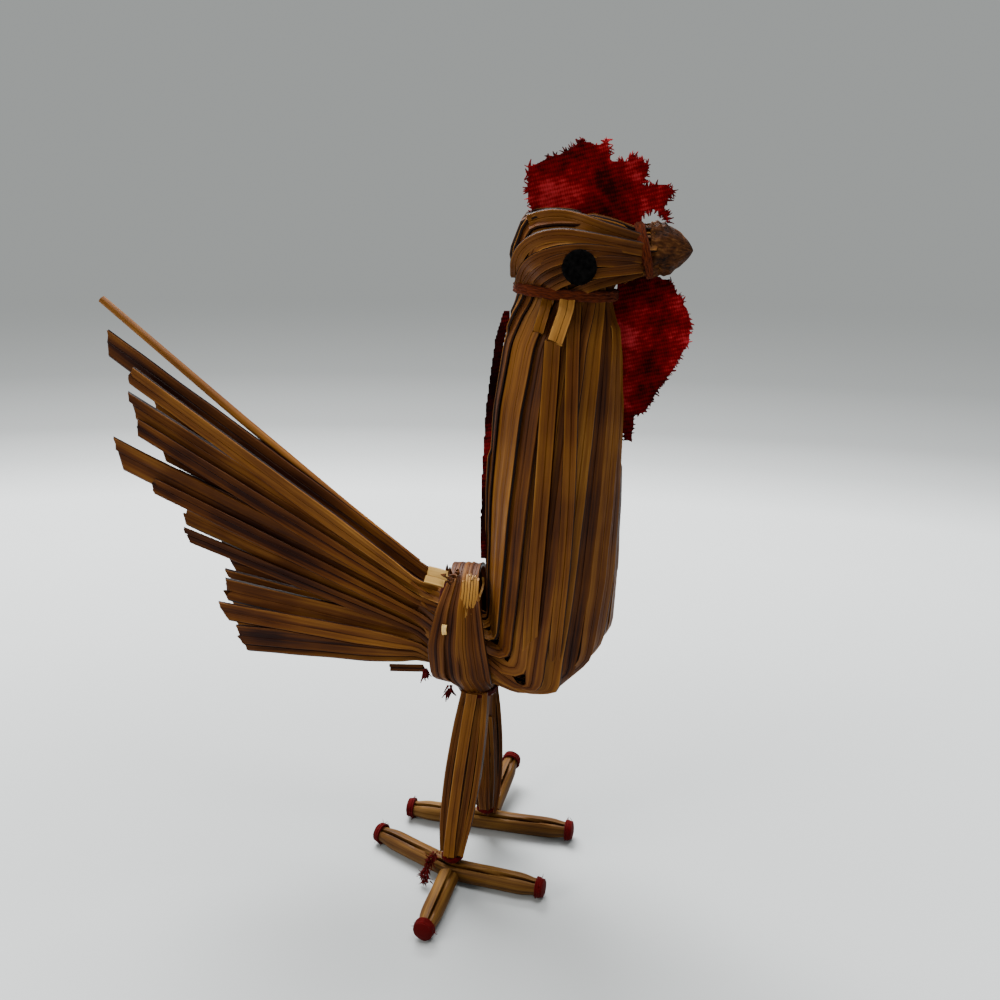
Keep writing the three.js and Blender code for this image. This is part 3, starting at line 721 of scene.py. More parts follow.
bm = bmesh.new()
laid_strip(bm, body_skin, [by_ties(s, t, proud) for s, t, proud in (
    (-0.10, -1.0, 0.5), (-0.17, -3.9, 0.7), (-0.25, -6.4, 0.7), (-0.33, -8.4, 0.6), (-0.36, -9.6, -1.2))],
           -1, 1.35 * MM, 0.52, 81, 0.5 * MM)
laid_strip(bm, body_skin, [by_ties(s, t, proud) for s, t, proud in (
    (0.15, -0.1, 0.0), (0.15, -1.2, 0.5), (0.16, -4.0, 0.6), (0.12, -6.5, 0.6), (0.02, -8.8, 0.5), (-0.04, -10.2, -1.2))],
           -1, 1.1 * MM, 0.46, 82, 0.5 * MM)
finish_piece(bm, "proud_neck_straws", STRAW, "straw", (), 28)
bm = bmesh.new()
laid_strip(bm, body_skin, [by_ties(s, t, proud) for s, t, proud in (
    (0.06, -0.12, 0.1), (0.05, -0.35, 0.9), (0.0, -0.65, 1.6), (-0.07, -1.08, 1.9))], -1, 1.25 * MM, 0.86, 83, 0.75 * MM)
laid_strip(bm, body_skin, [by_ties(s, t, proud) for s, t, proud in (
    (-0.20, -0.12, 0.1), (-0.22, -0.35, 0.7), (-0.26, -0.62, 1.0), (-0.29, -0.86, 0.9))], -1, 0.9 * MM, 0.62, 84, 0.5 * MM)
finish_piece(bm, "bent_cut_ends", STRAW, "straw", (), 28)

LEG_TIE = centre_of("leg_tie")
leg_skin = skin_of([o.name for o in bpy.data.objects if o.name.startswith("leg_straw_")])


def down_leg(ankle, offset, first, proud):
    """A path down a leg, offset mm to its front, closing in to both of its ties."""
    return [(LEG_TIE.x + t * (ankle.x - LEG_TIE.x) + offset * swell * MM, LEG_TIE.z + t * (ankle.z - LEG_TIE.z), proud * MM)
            for t, swell in ((-0.02, 0.66), (0.08, 0.78), (0.25, 0.92), (0.5, 1.0), (0.75, 0.9), (0.97, 0.6)) if t >= first]


LEG_STRIPS = ((-2.65, 0.70, 0.10, 0.44), (-0.75, 1.05, 0.45, 0.60), (1.15, 0.72, 0.15, 0.50),
              (2.50, 0.52, 0.40, 0.56), (3.35, 0.35, 0.0, 0.40))
for place, outer in (("near", -1), ("far", 1)):
    bm = bmesh.new()
    for side, eye, first, narrow, count in ((outer, None, -0.1, 1.0, 5), (-outer, CENTRE.y, 0.25, 0.72, 4)):
        for number, (offset, half, proud, tone) in enumerate(LEG_STRIPS[:count]):
            path = down_leg(centre_of(place + "_ankle_tie"), offset * narrow, first, proud)
            laid_strip(bm, leg_skin, path, side, half * narrow * MM, tone, 100 + number, 0.30 * MM, 0.1 * MM, eye)
    finish_piece(bm, place + "_leg_strips", STRAW, "straw", (), 28)
print("strips laid on head, neck and legs")

# %% [markdown]
# ## Toes
# A toe is a short piece of uncrushed stalk with a slit along its top where it has dried open. The
# slit is a deep narrow notch in the round outline, painted darker inside as shade.
# %% Toe straws
for side in ("near", "far"):
    for part in ("long_straw", "side_toe"):
        node = f"{side}_foot_{part}"
        rows = restation_round(read_round(node, 8), 1.0 * MM, 3)
        slit = 64 if rows[-1][0].x > rows[0][0].x else 116
        bm = bmesh.new()
        roll_round(bm, rows, Vector((0, 0, 1)), 36, lambda turn, row: (
            (1.04 - 0.45 * math.exp(-((math.degrees(turn) - slit - 6 * math.sin(row * 0.23)) / 7.0) ** 2) + 0.02 * math.cos(5 * turn))
            * (1 + 0.03 * noise.noise(Vector((row * 0.2, turn, 3))))), 0.43, 9.0)
        finish_piece(bm, node.replace("foot_", "toe_"), TOE_STRAW, "straw", [node])
print("toe straws made")

# %% [markdown]
# ## Thread and cord
# Sewing thread is two plies twisted together. The outline of the cord is a circle with two or
# three lobes, and turning the lobes as the cord runs along makes the twist. The cord goes round
# in a flat coil; each solid tie's own shape says how wide, how deep and how tilted the coil is.
# %% Wound cord


def cord_finish(name, dark, light, roughness=0.85):
    finish, nodes, links, shader = new_finish(name, roughness)
    fibre = stretched_noise(nodes, links, 1.2, 5.0, 4.0)
    colour = ramp(nodes, [(0.3, dark), (0.7, light)])
    links.new(fibre.outputs["Fac"], colour.inputs["Fac"])
    links.new(colour.outputs["Color"], shader.inputs["Base Color"])
    bump = nodes.new("ShaderNodeBump")
    bump.inputs["Strength"].default_value = 0.6
    bump.inputs["Distance"].default_value = 0.0001
    links.new(fibre.outputs["Fac"], bump.inputs["Height"])
    links.new(bump.outputs["Normal"], shader.inputs["Normal"])
    shader.inputs["Sheen Weight"].default_value = 0.02
    shader.inputs["Specular IOR Level"].default_value = 0.06
    shader.inputs["Sheen Roughness"].default_value = 0.5
    return finish


BROWN_CORD = cord_finish("brown_cord", (0.010, 0.0015, 0.0005), (0.105, 0.018, 0.004))
RED_THREAD = cord_finish("red_thread", (0.014, 0.0, 0.0), (0.095, 0.0006, 0.0010))
# A darker copy of the red thread, its colour painted in shade, for the waist and leg ties.
SHADED_RED_THREAD = cord_finish("shaded_red_thread", (0.012, 0.001, 0.001), (0.055, 0.004, 0.003))


def tie_axes(node):
    """Middle of a tie, its long, short and through directions, and its half sizes along them."""
    co = np.array([v.co for v in frame["nodes"][node].data.vertices])
    middle = (co.min(0) + co.max(0)) / 2
    _, axes = np.linalg.eigh(np.cov((co - middle).T))
    ways = [Vector(axes[:, k]) for k in (2, 1, 0)]
    if ways[2].z < 0 and abs(ways[2].z) > 0.5:
        ways[2].negate()
    spans = [(co @ np.array(way)).min() for way in ways], [(co @ np.array(way)).max() for way in ways]
    centre = sum((way * ((lo + hi) / 2) for way, lo, hi in zip(ways, *spans)), Vector())
    return centre, ways, [(hi - lo) / 2 for lo, hi in zip(*spans)]


def wound_cord(bm, node, turns, radius, lobes=2, twist=1.6, shrink=0.0):
    """A coil of twisted cord in the place of a solid tie. twist is in turns of the lobes per mm."""
    centre, (longer, shorter, through), (a, b, h) = tie_axes(node)
    steps = int(turns * 110)
    points = []
    for k in range(steps + 1):
        share = k / steps
        angle = 2 * math.pi * turns * share - 2.2
        tuck = 0.6 * MM * max(0.0, 1 - min(share, 1 - share) * turns * 7)
        reach_a, reach_b = a - radius - tuck - shrink, b - radius - tuck - shrink
        rise = (h - radius) * (2 * share - 1) + 0.06 * MM * math.sin(angle * 3)
        points.append(centre + longer * math.cos(angle) * reach_a + shorter * math.sin(angle) * reach_b
                      + through * rise)
    rows = [(point, radius) for point in points]
    step = (points[5] - points[4]).length / MM
    roll_round(bm, rows, through, 12, lambda turn, row: 1 - 0.20 * abs(
        math.sin(lobes * (turn - row * step * twist * 2 * math.pi / lobes) / 2)), 0.5, 2 * math.pi * radius / MM)


for node, turns, radius, finish, slot, lobes, shrink in (
        ("neck_tie", 3, 0.44 * MM, BROWN_CORD, "brown_cord", 3, 0.0),
        ("beak_tie", 3.4, 0.34 * MM, BROWN_CORD, "brown_cord", 3, 0.0),
        ("waist_tie", 2.5, 0.33 * MM, SHADED_RED_THREAD, "red_thread", 2, 0.0),
        ("leg_tie", 3.4, 0.34 * MM, SHADED_RED_THREAD, "red_thread", 2, 0.75 * MM),
        ("near_ankle_tie", 3.3, 0.28 * MM, RED_THREAD, "red_thread", 2, 0.65 * MM),
        ("far_ankle_tie", 3.3, 0.28 * MM, RED_THREAD, "red_thread", 2, 0.65 * MM)):
    bm = bmesh.new()
    wound_cord(bm, node, turns, radius, lobes, 0.30 if lobes == 3 else 0.5, shrink)
    finish_piece(bm, node + "_cord", finish, slot, [node])
print("ties wound")

# %% [markdown]
# ## Thread caps on the toes
# Each toe tip is wound round and round with red thread until the end is covered. A profile of
# small bumps, one for each turn, is spun around the toe's axis and closed in a dome at the tip.
# %% Toe caps
PITCH = 0.40 * MM


def cap_profile(length, radius, tip_bulge):
    """(distance along, radius) of a wound cap, from its open rim to its tip."""
    rim = -0.12 * length
    points = [(rim, radius - 0.5 * MM)]
    turns = max(3, round((length / 2 - rim) / PITCH))
    for turn in range(turns):
        start, fat = rim + turn * PITCH, radius * (0.93 if turn < turns - 1 else 0.88)
        points += [(start + 0.25 * PITCH, fat), (start + 0.6 * PITCH, fat), (start + PITCH, fat - 0.14 * MM)]
    for share in (0.25, 0.5, 0.75, 1.0):
        points.append((length / 2 + tip_bulge * math.sin(share * math.pi / 2),
                       (radius - 0.15 * MM) * math.cos(share * math.pi / 2)))
    return points


def bristle(bm, start, way, length, radius, dice, bend=0.5, columns=4, tone=0.5):
    """One short hair of thread or straw fibre, tapering to its end."""
    way = way.normalized()
    side = way.orthogonal().normalized()
    side.rotate(Matrix.Rotation(dice.uniform(0, 2 * math.pi), 3, way))
    rows = []
    for k in range(4):
        share = k / 3
        rows.append((start + way * length * share + side * length * bend * share * share,
                     radius * (1 - 0.75 * share)))
    roll_round(bm, rows, side + way.orthogonal() * 0.01, columns, lambda turn, row: 1.0, tone, 1.0)


for side in ("near", "far"):
    foot = sum((Vector(c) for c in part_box(f"{side}_foot_long_straw")), Vector()) / 2
    for toe in ("back", "front", "outer"):
        node = f"{side}_foot_{toe}_toe_cap"
        centre, (_, _, through), (radius, _, half) = tie_axes(node)
        away = through if through.dot(centre - foot) > 0 else -through
        bm = bmesh.new()
        path = cap_profile(2 * half, radius, 0.55 * MM)
        line = [bm.verts.new((r, 0, z)) for z, r in path[:-1]] + [bm.verts.new((0, 0, path[-1][0]))]
        edges = [bm.edges.new(pair) for pair in zip(line, line[1:])]
        bmesh.ops.spin(bm, geom=line + edges, axis=(0, 0, 1), cent=(0, 0, 0), steps=28,
                       angle=2 * math.pi, use_merge=True)
        bmesh.ops.remove_doubles(bm, verts=bm.verts, dist=1e-6)
        for vert in bm.verts:
            lump = 0.16 * noise.noise(vert.co * 420 + foot * 50) + 0.05 * noise.noise(vert.co * 1500)
            vert.co.xy *= 1 + min(lump, 0.04)
        turn = away.to_track_quat("Z", "Y").to_matrix().to_4x4()
        bmesh.ops.transform(bm, matrix=Matrix.Translation(centre) @ turn, verts=bm.verts)
        bmesh.ops.recalc_face_normals(bm, faces=bm.faces)
        dice = random.Random(len(node) + toe.count("t"))
        for _ in range(9):
            spoke = Vector((dice.uniform(-1, 1), dice.uniform(-1, 1), dice.uniform(-0.2, 1)))
            spoke = (spoke - away * spoke.dot(away)).normalized()
            bristle(bm, centre + spoke * radius * 0.9 + away * half * dice.uniform(0.0, 0.9),
                    spoke + away * dice.uniform(-0.8, 0.8), dice.uniform(0.3, 0.7) * MM, 0.07 * MM, dice)
        for k in range(4):
            tuft = Vector((dice.uniform(-0.4, 0.4), dice.uniform(-0.4, 0.4), -0.25)) - away * dice.uniform(0.2, 1.0)
            low = centre + away * half * 0.5 - Vector((0, 0, radius * 0.75))
            bristle(bm, low + tuft * 0.3 * MM, tuft, dice.uniform(0.7, 1.2) * MM, 0.16 * MM, dice, 0.3, 5)
        finish_piece(bm, f"{side}_{toe}_thread_cap", RED_THREAD, "red_thread", [node], 60)
print("toe caps wound")

# %% [markdown]
# ## Red cloth
# The comb and the wattle are scraps of coarse red cloth, doubled, with cut edges that fray. A fine
# grid is laid over the scrap's outline; the cells outside it are deleted with a ragged limit, the
# weave is raised in the mesh itself, and loose threads stand out along the edge. The finish gives
# crimson, with painted shade that makes the gaps near-black and painted highlights that make the tops paler.
# %% Cloth finish
WEAVE, SLANT = 0.62 * MM, math.radians(14)


def cloth_finish(name, deep, plain, lit):
    finish, nodes, links, shader = new_finish(name, 0.95)
    place = nodes.new("ShaderNodeTexCoord")
    slant = nodes.new("ShaderNodeMapping")
    slant.inputs["Rotation"].default_value = (0, SLANT, 0)
    links.new(place.outputs["Object"], slant.inputs["Vector"])
    threads = []
    for direction, spacing, wander in (("Z", WEAVE, 1.6), ("X", WEAVE * 0.55, 0.8)):
        wave = nodes.new("ShaderNodeTexWave")
        wave.bands_direction = direction
        wave.inputs["Scale"].default_value = math.pi / 10 / spacing
        wave.inputs["Distortion"].default_value = wander
        wave.inputs["Detail"].default_value = 2.0
        wave.inputs["Detail Scale"].default_value = 1.6
        links.new(slant.outputs["Vector"], wave.inputs["Vector"])
        threads.append((wave.outputs["Fac"], 0.15 if direction == "Z" else 0.10, 0.5))
    for scale, weight in ((800, 0.8), (110, 2.2)):
        blotch = nodes.new("ShaderNodeTexNoise")
        blotch.inputs["Scale"].default_value = scale
        blotch.inputs["Detail"].default_value = 4
        links.new(place.outputs["Object"], blotch.inputs["Vector"])
        threads.append((blotch.outputs["Fac"], weight, 0.5))
    level = add_up(nodes, links, threads, 0.45)
    # The deep end is painted shade, near-black, and the lit end painted highlight, pale and pinkish; the threads and
    # blotches move the colour between them.
    colour = ramp(nodes, [(0.10, deep), (0.5, plain), (0.98, lit)])
    links.new(level, colour.inputs["Fac"])
    links.new(colour.outputs["Color"], shader.inputs["Base Color"])
    relief = add_up(nodes, links, threads[:2], 0.5)
    bump = nodes.new("ShaderNodeBump")
    bump.inputs["Strength"].default_value = 0.7
    bump.inputs["Distance"].default_value = 0.00015
    links.new(relief, bump.inputs["Height"])
    links.new(bump.outputs["Normal"], shader.inputs["Normal"])
    shader.inputs["Specular IOR Level"].default_value = 0.04
    shader.inputs["Sheen Weight"].default_value = 0.05
    shader.inputs["Sheen Roughness"].default_value = 0.4
    return finish


RED_CLOTH = cloth_finish("red_cloth", (0.016, 0.0, 0.0), (0.115, 0.0004, 0.0016), (0.42, 0.022, 0.030))
print("cloth finish:", RED_CLOTH.name)

# %% Cut and fray a scrap of cloth


def cloth_outline(node):
    """Tells whether (x, z) lies inside a solid plate's outline."""
    bm = merged_copy(node)
    tree = BVHTree.FromBMesh(bm)
    bm.free()
    return lambda x, z: tree.ray_cast(Vector((x, -1, z)), Vector((0, 1, 0)))[0] is not None


def edge_noise(x, z, scale=700, seed=0.0):
    return noise.noise(Vector((x * scale, seed, z * scale)))


def scrap(node, cell, rag, bulge, centre_y, thickness=0.42 * MM, reach=lambda inside, x, z: False,
          drop=lambda x, z: False, grow=0.0):
    """A scrap of woven cloth in the outline of a solid plate; bulge(x, z) moves it off the plane.
    reach adds cloth outside the outline, and drop takes some away."""
    low, high = (Vector(c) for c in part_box(node))
    low, high = low - Vector((1.6, 0, 1.4)) * MM, high + Vector((0, 0, grow)) * MM
    inside = cloth_outline(node)
    size_x, size_z = high.x - low.x, high.z - low.z
    bm = bmesh.new()
    bmesh.ops.create_grid(bm, x_segments=round(size_x / cell), y_segments=round(size_z / cell), size=0.5,
                          matrix=Matrix.Translation((low.x + size_x / 2, centre_y, low.z + size_z / 2))
                          @ Matrix.Rotation(math.pi / 2, 4, "X") @ Matrix.Diagonal((size_x, size_z, 1, 1)))
    outside = []
    for face in bm.faces:
        point = face.calc_center_median()
        x = point.x + rag * edge_noise(point.x, point.z)
        z = point.z + rag * edge_noise(point.x, point.z, 700, 5.0)
        if not (inside(x, z) or reach(inside, x, z)) or drop(point.x, point.z):
            outside.append(face)
    bmesh.ops.delete(bm, geom=outside, context="FACES")
    for _ in range(2):
        rim = [vert for vert in bm.verts if vert.is_boundary]
        bmesh.ops.smooth_vert(bm, verts=rim, factor=0.5, use_axis_x=True, use_axis_z=True)
    bmesh.ops.solidify(bm, geom=list(bm.faces), thickness=thickness)
    for vert in bm.verts:
        x, z = vert.co.x, vert.co.z
        across, up = x * math.cos(SLANT) + z * math.sin(SLANT), z * math.cos(SLANT) - x * math.sin(SLANT)
        weave = math.sin(2 * math.pi * up / WEAVE + 0.8 * math.sin(900 * across)) * math.cos(math.pi * across / (WEAVE * 0.55))
        vert.co.y += bulge(x, z) + 0.045 * MM * weave * (1 if vert.co.y > centre_y else -1)
    return bm


def rim_points(bm):
    """(place, outward way) at the cut edge of a scrap, taken from its narrow side faces."""
    out = []
    for face in bm.faces:
        if abs(face.normal.y) < 0.5:
            out.append((face.calc_center_median(), face.normal.copy()))
    return out


def fray(bm, chance, longest, seed, where=lambda p: True, radius=0.22 * MM):
    """Loose threads along a scrap's cut edge, in bunches."""
    dice = random.Random(seed)
    for point, way in rim_points(bm):
        if where(point) and dice.random() < chance * (0.6 + 1.2 * noise.noise(point * 900)):
            lean = Vector((dice.uniform(-0.4, 0.4), dice.uniform(-0.4, 0.4), dice.uniform(-0.3, 0.5)))
            bristle(bm, point - way * 0.25 * MM, way + lean, dice.uniform(0.35, 1.0) * longest,
                    radius * dice.uniform(0.6, 1.3), dice, 0.35)


comb_low, comb_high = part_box("comb_cloth")
beak_tie_middle = tie_axes("beak_tie")[0]
bm = scrap("comb_cloth", 0.19 * MM, 0.35 * MM,
           lambda x, z: 0.35 * MM * math.sin((x - comb_low.x) * 420) + 0.30 * MM * noise.noise(Vector((x * 160, 1, z * 160))),
           (comb_low.y + comb_high.y) / 2,
           reach=lambda inside, x, z: x < beak_tie_middle.x - 0.6 * MM and inside(x, z + 1.3 * MM))
bmesh.ops.recalc_face_normals(bm, faces=bm.faces)
comb_area = sum(face.calc_area() for face in bm.faces if abs(face.normal.y) > 0.5) / 2
fray(bm, 0.98, 1.15 * MM, 7, lambda p: p.z > comb_low.z + 6.3 * MM or p.x > beak_tie_middle.x)
comb = finish_piece(bm, "comb", RED_CLOTH, "red_cloth", ["comb_cloth"], 80)
print("comb cloth area, cm2:", round(comb_area * 1e4, 2))

wattle_low, wattle_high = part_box("wattle_cloth")
hem = wattle_low.z + 0.165 * (wattle_high.z - wattle_low.z)


def throat(x):
    """How far the wattle's cloth runs up under the beak, most of all at the neck."""
    return 2.1 * MM * min(1.0, max(0.0, 1 - (x - beak_tie_middle.x) / (6.5 * MM)))


bm = scrap("wattle_cloth", 0.19 * MM, 0.25 * MM,
           lambda x, z: 0.5 * MM * math.sin((x + z) * 300) * min(1, max(0, (x - wattle_low.x - 1 * MM) / (4 * MM))),
           (wattle_low.y + wattle_high.y) / 2,
           reach=lambda inside, x, z: inside(x + 1.5 * MM, z) or inside(x, z - throat(x)) or inside(x + 1.5 * MM, z - throat(x)),
           drop=lambda x, z: z < hem and x > wattle_low.x + 0.35 * MM, grow=2.2)
bmesh.ops.recalc_face_normals(bm, faces=bm.faces)
wattle_area = sum(face.calc_area() for face in bm.faces if abs(face.normal.y) > 0.5) / 2
fray(bm, 0.7, 0.9 * MM, 9, lambda p: p.x > wattle_low.x + 1.5 * MM or abs(p.z - hem) < 1 * MM)
wattle = finish_piece(bm, "wattle", RED_CLOTH, "red_cloth", ["wattle_cloth"], 80)
print("wattle cloth area, cm2:", round(wattle_area * 1e4, 2))

ribbon_low, ribbon_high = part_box("back_ribbon")
bm = scrap("back_ribbon", 0.20 * MM, 0.08 * MM, lambda x, z: 0.10 * MM * math.sin(z * 900),
           (ribbon_low.y + ribbon_high.y) / 2, reach=lambda inside, x, z: inside(x - 0.5 * MM, z))
bmesh.ops.recalc_face_normals(bm, faces=bm.faces)
fray(bm, 0.03, 0.4 * MM, 13)
# A darker copy of the red cloth, its colour painted in shade, for the ribbon down the back of the neck.
SHADED_RED_CLOTH = cloth_finish("shaded_red_cloth", (0.004, 0.0, 0.0), (0.018, 0.0002, 0.0004), (0.16, 0.004, 0.006))
finish_piece(bm, "neck_back_ribbon", SHADED_RED_CLOTH, "red_cloth", ["back_ribbon"], 80)

# %% [markdown]
# ## Eyes
# The eyes are punched felt discs. A thin cylinder gets a bevelled rim, its faces are divided and
# pushed about by noise, and short fibres stand out round the rim.
# %% Felt eyes


def felt_finish():
    finish, nodes, links, shader = new_finish("black_felt", 0.98)
    place = nodes.new("ShaderNodeTexCoord")
    fibre = nodes.new("ShaderNodeTexNoise")
    fibre.inputs["Scale"].default_value = 1400
    fibre.inputs["Detail"].default_value = 6
    links.new(place.outputs["Object"], fibre.inputs["Vector"])
    colour = ramp(nodes, [(0.35, (0.0006, 0.0006, 0.0006)), (0.75, (0.005, 0.0045, 0.0045))])
    links.new(fibre.outputs["Fac"], colour.inputs["Fac"])
    links.new(colour.outputs["Color"], shader.inputs["Base Color"])
    bump = nodes.new("ShaderNodeBump")
    bump.inputs["Strength"].default_value = 0.8
    bump.inputs["Distance"].default_value = 0.0001
    links.new(fibre.outputs["Fac"], bump.inputs["Height"])
    links.new(bump.outputs["Normal"], shader.inputs["Normal"])
    shader.inputs["Specular IOR Level"].default_value = 0.02
    return finish


FELT = felt_finish()
for node, outward in (("near_eye", -1), ("far_eye", 1)):
    low, high = (Vector(c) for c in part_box(node))
    middle, radius, depth = (low + high) / 2, (high.x - low.x) / 2, high.y - low.y
    bm = bmesh.new()
    bmesh.ops.create_cone(bm, cap_ends=True, segments=36, radius1=radius * 0.95, radius2=radius * 0.95, depth=depth)
    rims = [e for e in bm.edges if abs(e.verts[0].co.z - e.verts[1].co.z) < 1e-9]
    bmesh.ops.bevel(bm, geom=rims, offset=0.22 * MM, affect="EDGES", segments=2, profile=0.5, material=-1)
    bmesh.ops.inset_region(bm, faces=[f for f in bm.faces if len(f.verts) > 8], thickness=0.6 * MM)
    bmesh.ops.inset_region(bm, faces=[f for f in bm.faces if len(f.verts) > 8], thickness=0.7 * MM)
    for vert in bm.verts:
        vert.co += Vector((1, 1, 0.4)) * 0.09 * MM * noise.noise(vert.co * 1500)
    turn = Matrix.Translation(middle) @ Matrix.Rotation(math.pi / 2, 4, "X")
    bmesh.ops.transform(bm, matrix=turn, verts=bm.verts)
    bmesh.ops.recalc_face_normals(bm, faces=bm.faces)
    dice = random.Random(21 + outward)
    for k in range(70):
        angle = 2 * math.pi * k / 70 + dice.uniform(-0.05, 0.05)
        spoke = Vector((math.cos(angle), 0, math.sin(angle)))
        bristle(bm, middle + spoke * radius * 0.93 + Vector((0, dice.uniform(-0.2, 0.3) * depth, 0)),
                spoke + Vector((dice.uniform(-0.7, 0.7), outward * 0.3, dice.uniform(-0.7, 0.7))),
                dice.uniform(0.15, 0.35) * MM, 0.035 * MM, dice, 0.4, 3)
    finish_piece(bm, node.replace("eye", "felt_eye"), FELT, "black_felt", [node], 50)
print("eyes set")

# %% [markdown]
# ## Beak
# The beak is a dry brown husk wrapped to a point. Its solid gives the size of each ring; the
# detailed one starts further back, at the tie, and is wrinkled by ridges that run round and
# along it.
# %% Beak


def husk_finish():
    finish, nodes, links, shader = new_finish("wrinkled_husk", 0.7)
    shader.inputs["Specular IOR Level"].default_value = 0.08
    grain = stretched_noise(nodes, links, 0.9, 3.0, 5.0)
    place = nodes.new("ShaderNodeTexCoord")
    spots = nodes.new("ShaderNodeTexNoise")
    spots.inputs["Scale"].default_value = 420
    spots.inputs["Detail"].default_value = 5
    links.new(place.outputs["Object"], spots.inputs["Vector"])
    level = add_up(nodes, links, [(grain.outputs["Fac"], 0.9, 0.5), (spots.outputs["Fac"], 0.9, 0.5)], 0.45)
    colour = ramp(nodes, [(0.2, (0.004, 0.0008, 0.0003)), (0.5, (0.050, 0.015, 0.003)), (0.85, (0.17, 0.070, 0.018))])
    links.new(level, colour.inputs["Fac"])
    links.new(colour.outputs["Color"], shader.inputs["Base Color"])
    bump = nodes.new("ShaderNodeBump")
    bump.inputs["Strength"].default_value = 0.8
    bump.inputs["Distance"].default_value = 0.0002
    links.new(level, bump.inputs["Height"])
    links.new(bump.outputs["Normal"], shader.inputs["Normal"])
    return finish


beak_low, beak_high = (Vector(c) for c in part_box("beak"))
tie_middle = tie_axes("beak_tie")[0]
tip = Vector((beak_high.x, (beak_low.y + beak_high.y) / 2, (beak_low.z + beak_high.z) / 2 - 0.2 * MM))
base = Vector((tie_middle.x + 0.3 * MM, tip.y, tie_middle.z + 0.1 * MM))
half_wide, half_high = (beak_high.y - beak_low.y) / 2, (beak_high.z - beak_low.z) / 2
bm = bmesh.new()
count, columns = 34, 44


def beak_point(row, column):
    share = row / count
    turn = 2 * math.pi * column / columns
    taper = 1.04 * (1 - share ** 2.3) ** 0.75 + 0.05 * (1 - share) - 0.35 * max(0.0, 0.08 - share) / 0.08
    ridge = 0.05 * math.sin(9 * turn + 2.5 * share * math.pi) + 0.045 * math.sin(share * 36 + 2 * math.sin(turn * 2))
    rough = 0.10 * noise.noise(Vector((share * 5, math.cos(turn) * 2.2, math.sin(turn) * 2.2)))
    size = max(taper * (1 + ridge * (1 - share) + rough), 0.03)
    middle = base.lerp(tip, share)
    return middle + Vector((0, math.cos(turn) * half_wide * size, math.sin(turn) * half_high * size))


roll(bm, count, columns, beak_point, (8, 18))
finish_piece(bm, "beak_husk", husk_finish(), "beak_brown", ["beak"], 70)
print("beak wrapped")

# %% [markdown]
# ## Signs of handwork
# Round the saddle the maker's cut ends show: a frayed golden patch, a pale chip, a knot of dark
# scraps, a splinter and tufts of red thread. They are short strips and hairs of the same
# finishes, placed by the saddle's own sizes.
# %% Scraps, splinters and tufts
saddle_low, saddle_high = (Vector(c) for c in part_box("leg_and_saddle_straw_3"))
saddle_low.x = min(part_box(node)[0].x for node in LEG_STRAWS)
saddle_high.x = max(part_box(node)[1].x for node in LEG_STRAWS)


def by_saddle(share, down, proud):
    """A place on the saddle: share goes from its back edge to its front, down is in mm from its top."""
    return saddle_low.x + share * (saddle_high.x - saddle_low.x), saddle_high.z - down * MM, proud * MM


bm = bmesh.new()
for number, (share, top, low) in enumerate(((0.50, 1.6, 4.6), (0.545, 1.0, 5.8), (0.59, 0.9, 6.9), (0.635, 1.1, 6.1),
                                            (0.68, 1.0, 6.6), (0.725, 1.3, 5.2), (0.77, 1.8, 4.4))):
    laid_strip(bm, leg_skin, [by_saddle(share, top, 0.02), by_saddle(share + 0.01, (top + low) / 2, 0.12),
                              by_saddle(share - 0.01, low, -0.12)], -1, 0.19 * MM, 0.10, 90 + number, 0.10 * MM, 0.4 * MM)
laid_strip(bm, leg_skin, [by_saddle(0.25, 8.2, 0.1), by_saddle(0.24, 9.0, 0.35), by_saddle(0.25, 9.9, 0.1)],
           -1, 0.42 * MM, 1.3, 95, 0.16 * MM, 0.25 * MM)
finish_piece(bm, "golden_patch_and_chip", BRIGHT_STRAW, "pale_straw")

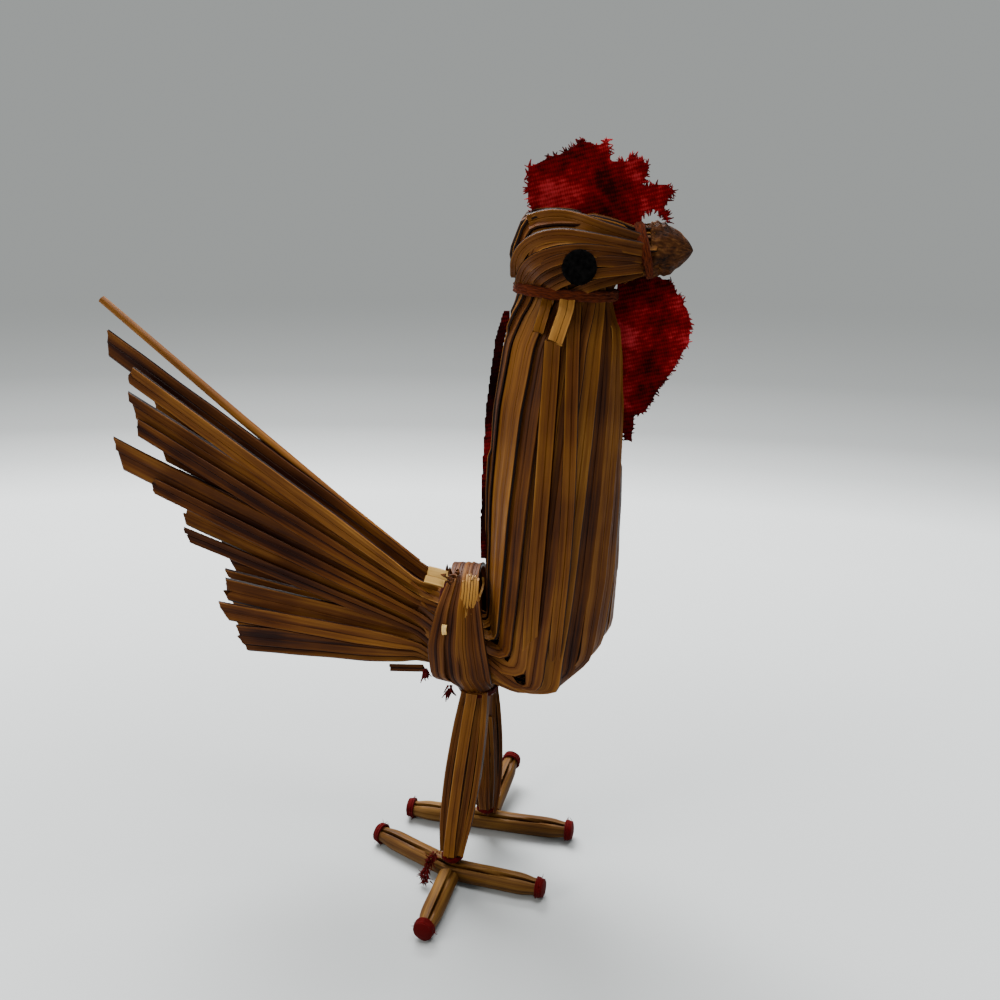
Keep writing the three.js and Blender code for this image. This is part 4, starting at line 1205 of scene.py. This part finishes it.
dice = random.Random(31)
bm = bmesh.new()
waist = centre_of("waist_tie")
for k in range(14):
    start = Vector((saddle_low.x + dice.uniform(0.2, 0.42) * (saddle_high.x - saddle_low.x),
                    waist.y - dice.uniform(1.5, 5.5) * MM, saddle_high.z - dice.uniform(0.6, 2.0) * MM))
    bristle(bm, start, Vector((dice.uniform(-1, 0.2), dice.uniform(-0.6, 0.2), dice.uniform(-0.2, 0.8))),
            dice.uniform(0.7, 1.3) * MM, dice.uniform(0.28, 0.50) * MM, dice, 0.3, 5, 0.30)
for share, down, length in ((-0.36, 3.0, 4.6), (-0.20, 6.4, 3.0), (-0.12, 8.0, 2.4)):
    x, z, _ = by_saddle(share, down, 0)
    hit = body_skin.ray_cast(Vector((x, -0.06, z)), Vector((0, 1, 0)))[0]
    bristle(bm, Vector((x, hit.y if hit else waist.y - 6 * MM, z)), Vector((0.8, -0.25, -0.55)), length * MM,
            0.28 * MM, dice, 0.12, 5, 0.5)
finish_piece(bm, "dark_scraps_and_splinters", STRAW, "straw")

bm = bmesh.new()
for share, down, spread, count in ((-0.12, 18.8, 1.2, 16), (0.24, 22.0, 1.1, 14)):
    x, z, _ = by_saddle(share, down, 0)
    for k in range(count):
        start = Vector((x + dice.uniform(-0.4, 0.4) * MM, waist.y - dice.uniform(3.0, 5.0) * MM, z + dice.uniform(-0.3, 0.5) * MM))
        bristle(bm, start, Vector((dice.uniform(-0.5, 0.4), dice.uniform(-0.5, 0.2), dice.uniform(-1, -0.4))),
                dice.uniform(0.9, 1.7) * spread * MM, dice.uniform(0.18, 0.32) * MM, dice, 0.3, 5)
ankle, (_, _, _), (ankle_reach, _, _) = tie_axes("near_ankle_tie")
for k in range(150):
    share = dice.uniform(0, 1)
    start = ankle + Vector((-ankle_reach * 0.9 - 2.0 * math.sin(share * 2.2) * MM, -(0.4 + 2.6 * share) * MM, (0.8 - 4.6 * share) * MM))
    start += Vector((dice.uniform(-0.7, 0.5), dice.uniform(-0.4, 0.4), dice.uniform(-0.5, 0.5))) * MM
    way = Vector((dice.uniform(-1.0, 0.6), dice.uniform(-0.6, 0.3), dice.uniform(-1.0, 0.2)))
    bristle(bm, start, way, dice.uniform(0.5, 1.2) * MM, 0.14 * MM, dice, 0.6, 4)
finish_piece(bm, "red_tufts", RED_THREAD, "red_thread")
print("scraps and tufts placed")
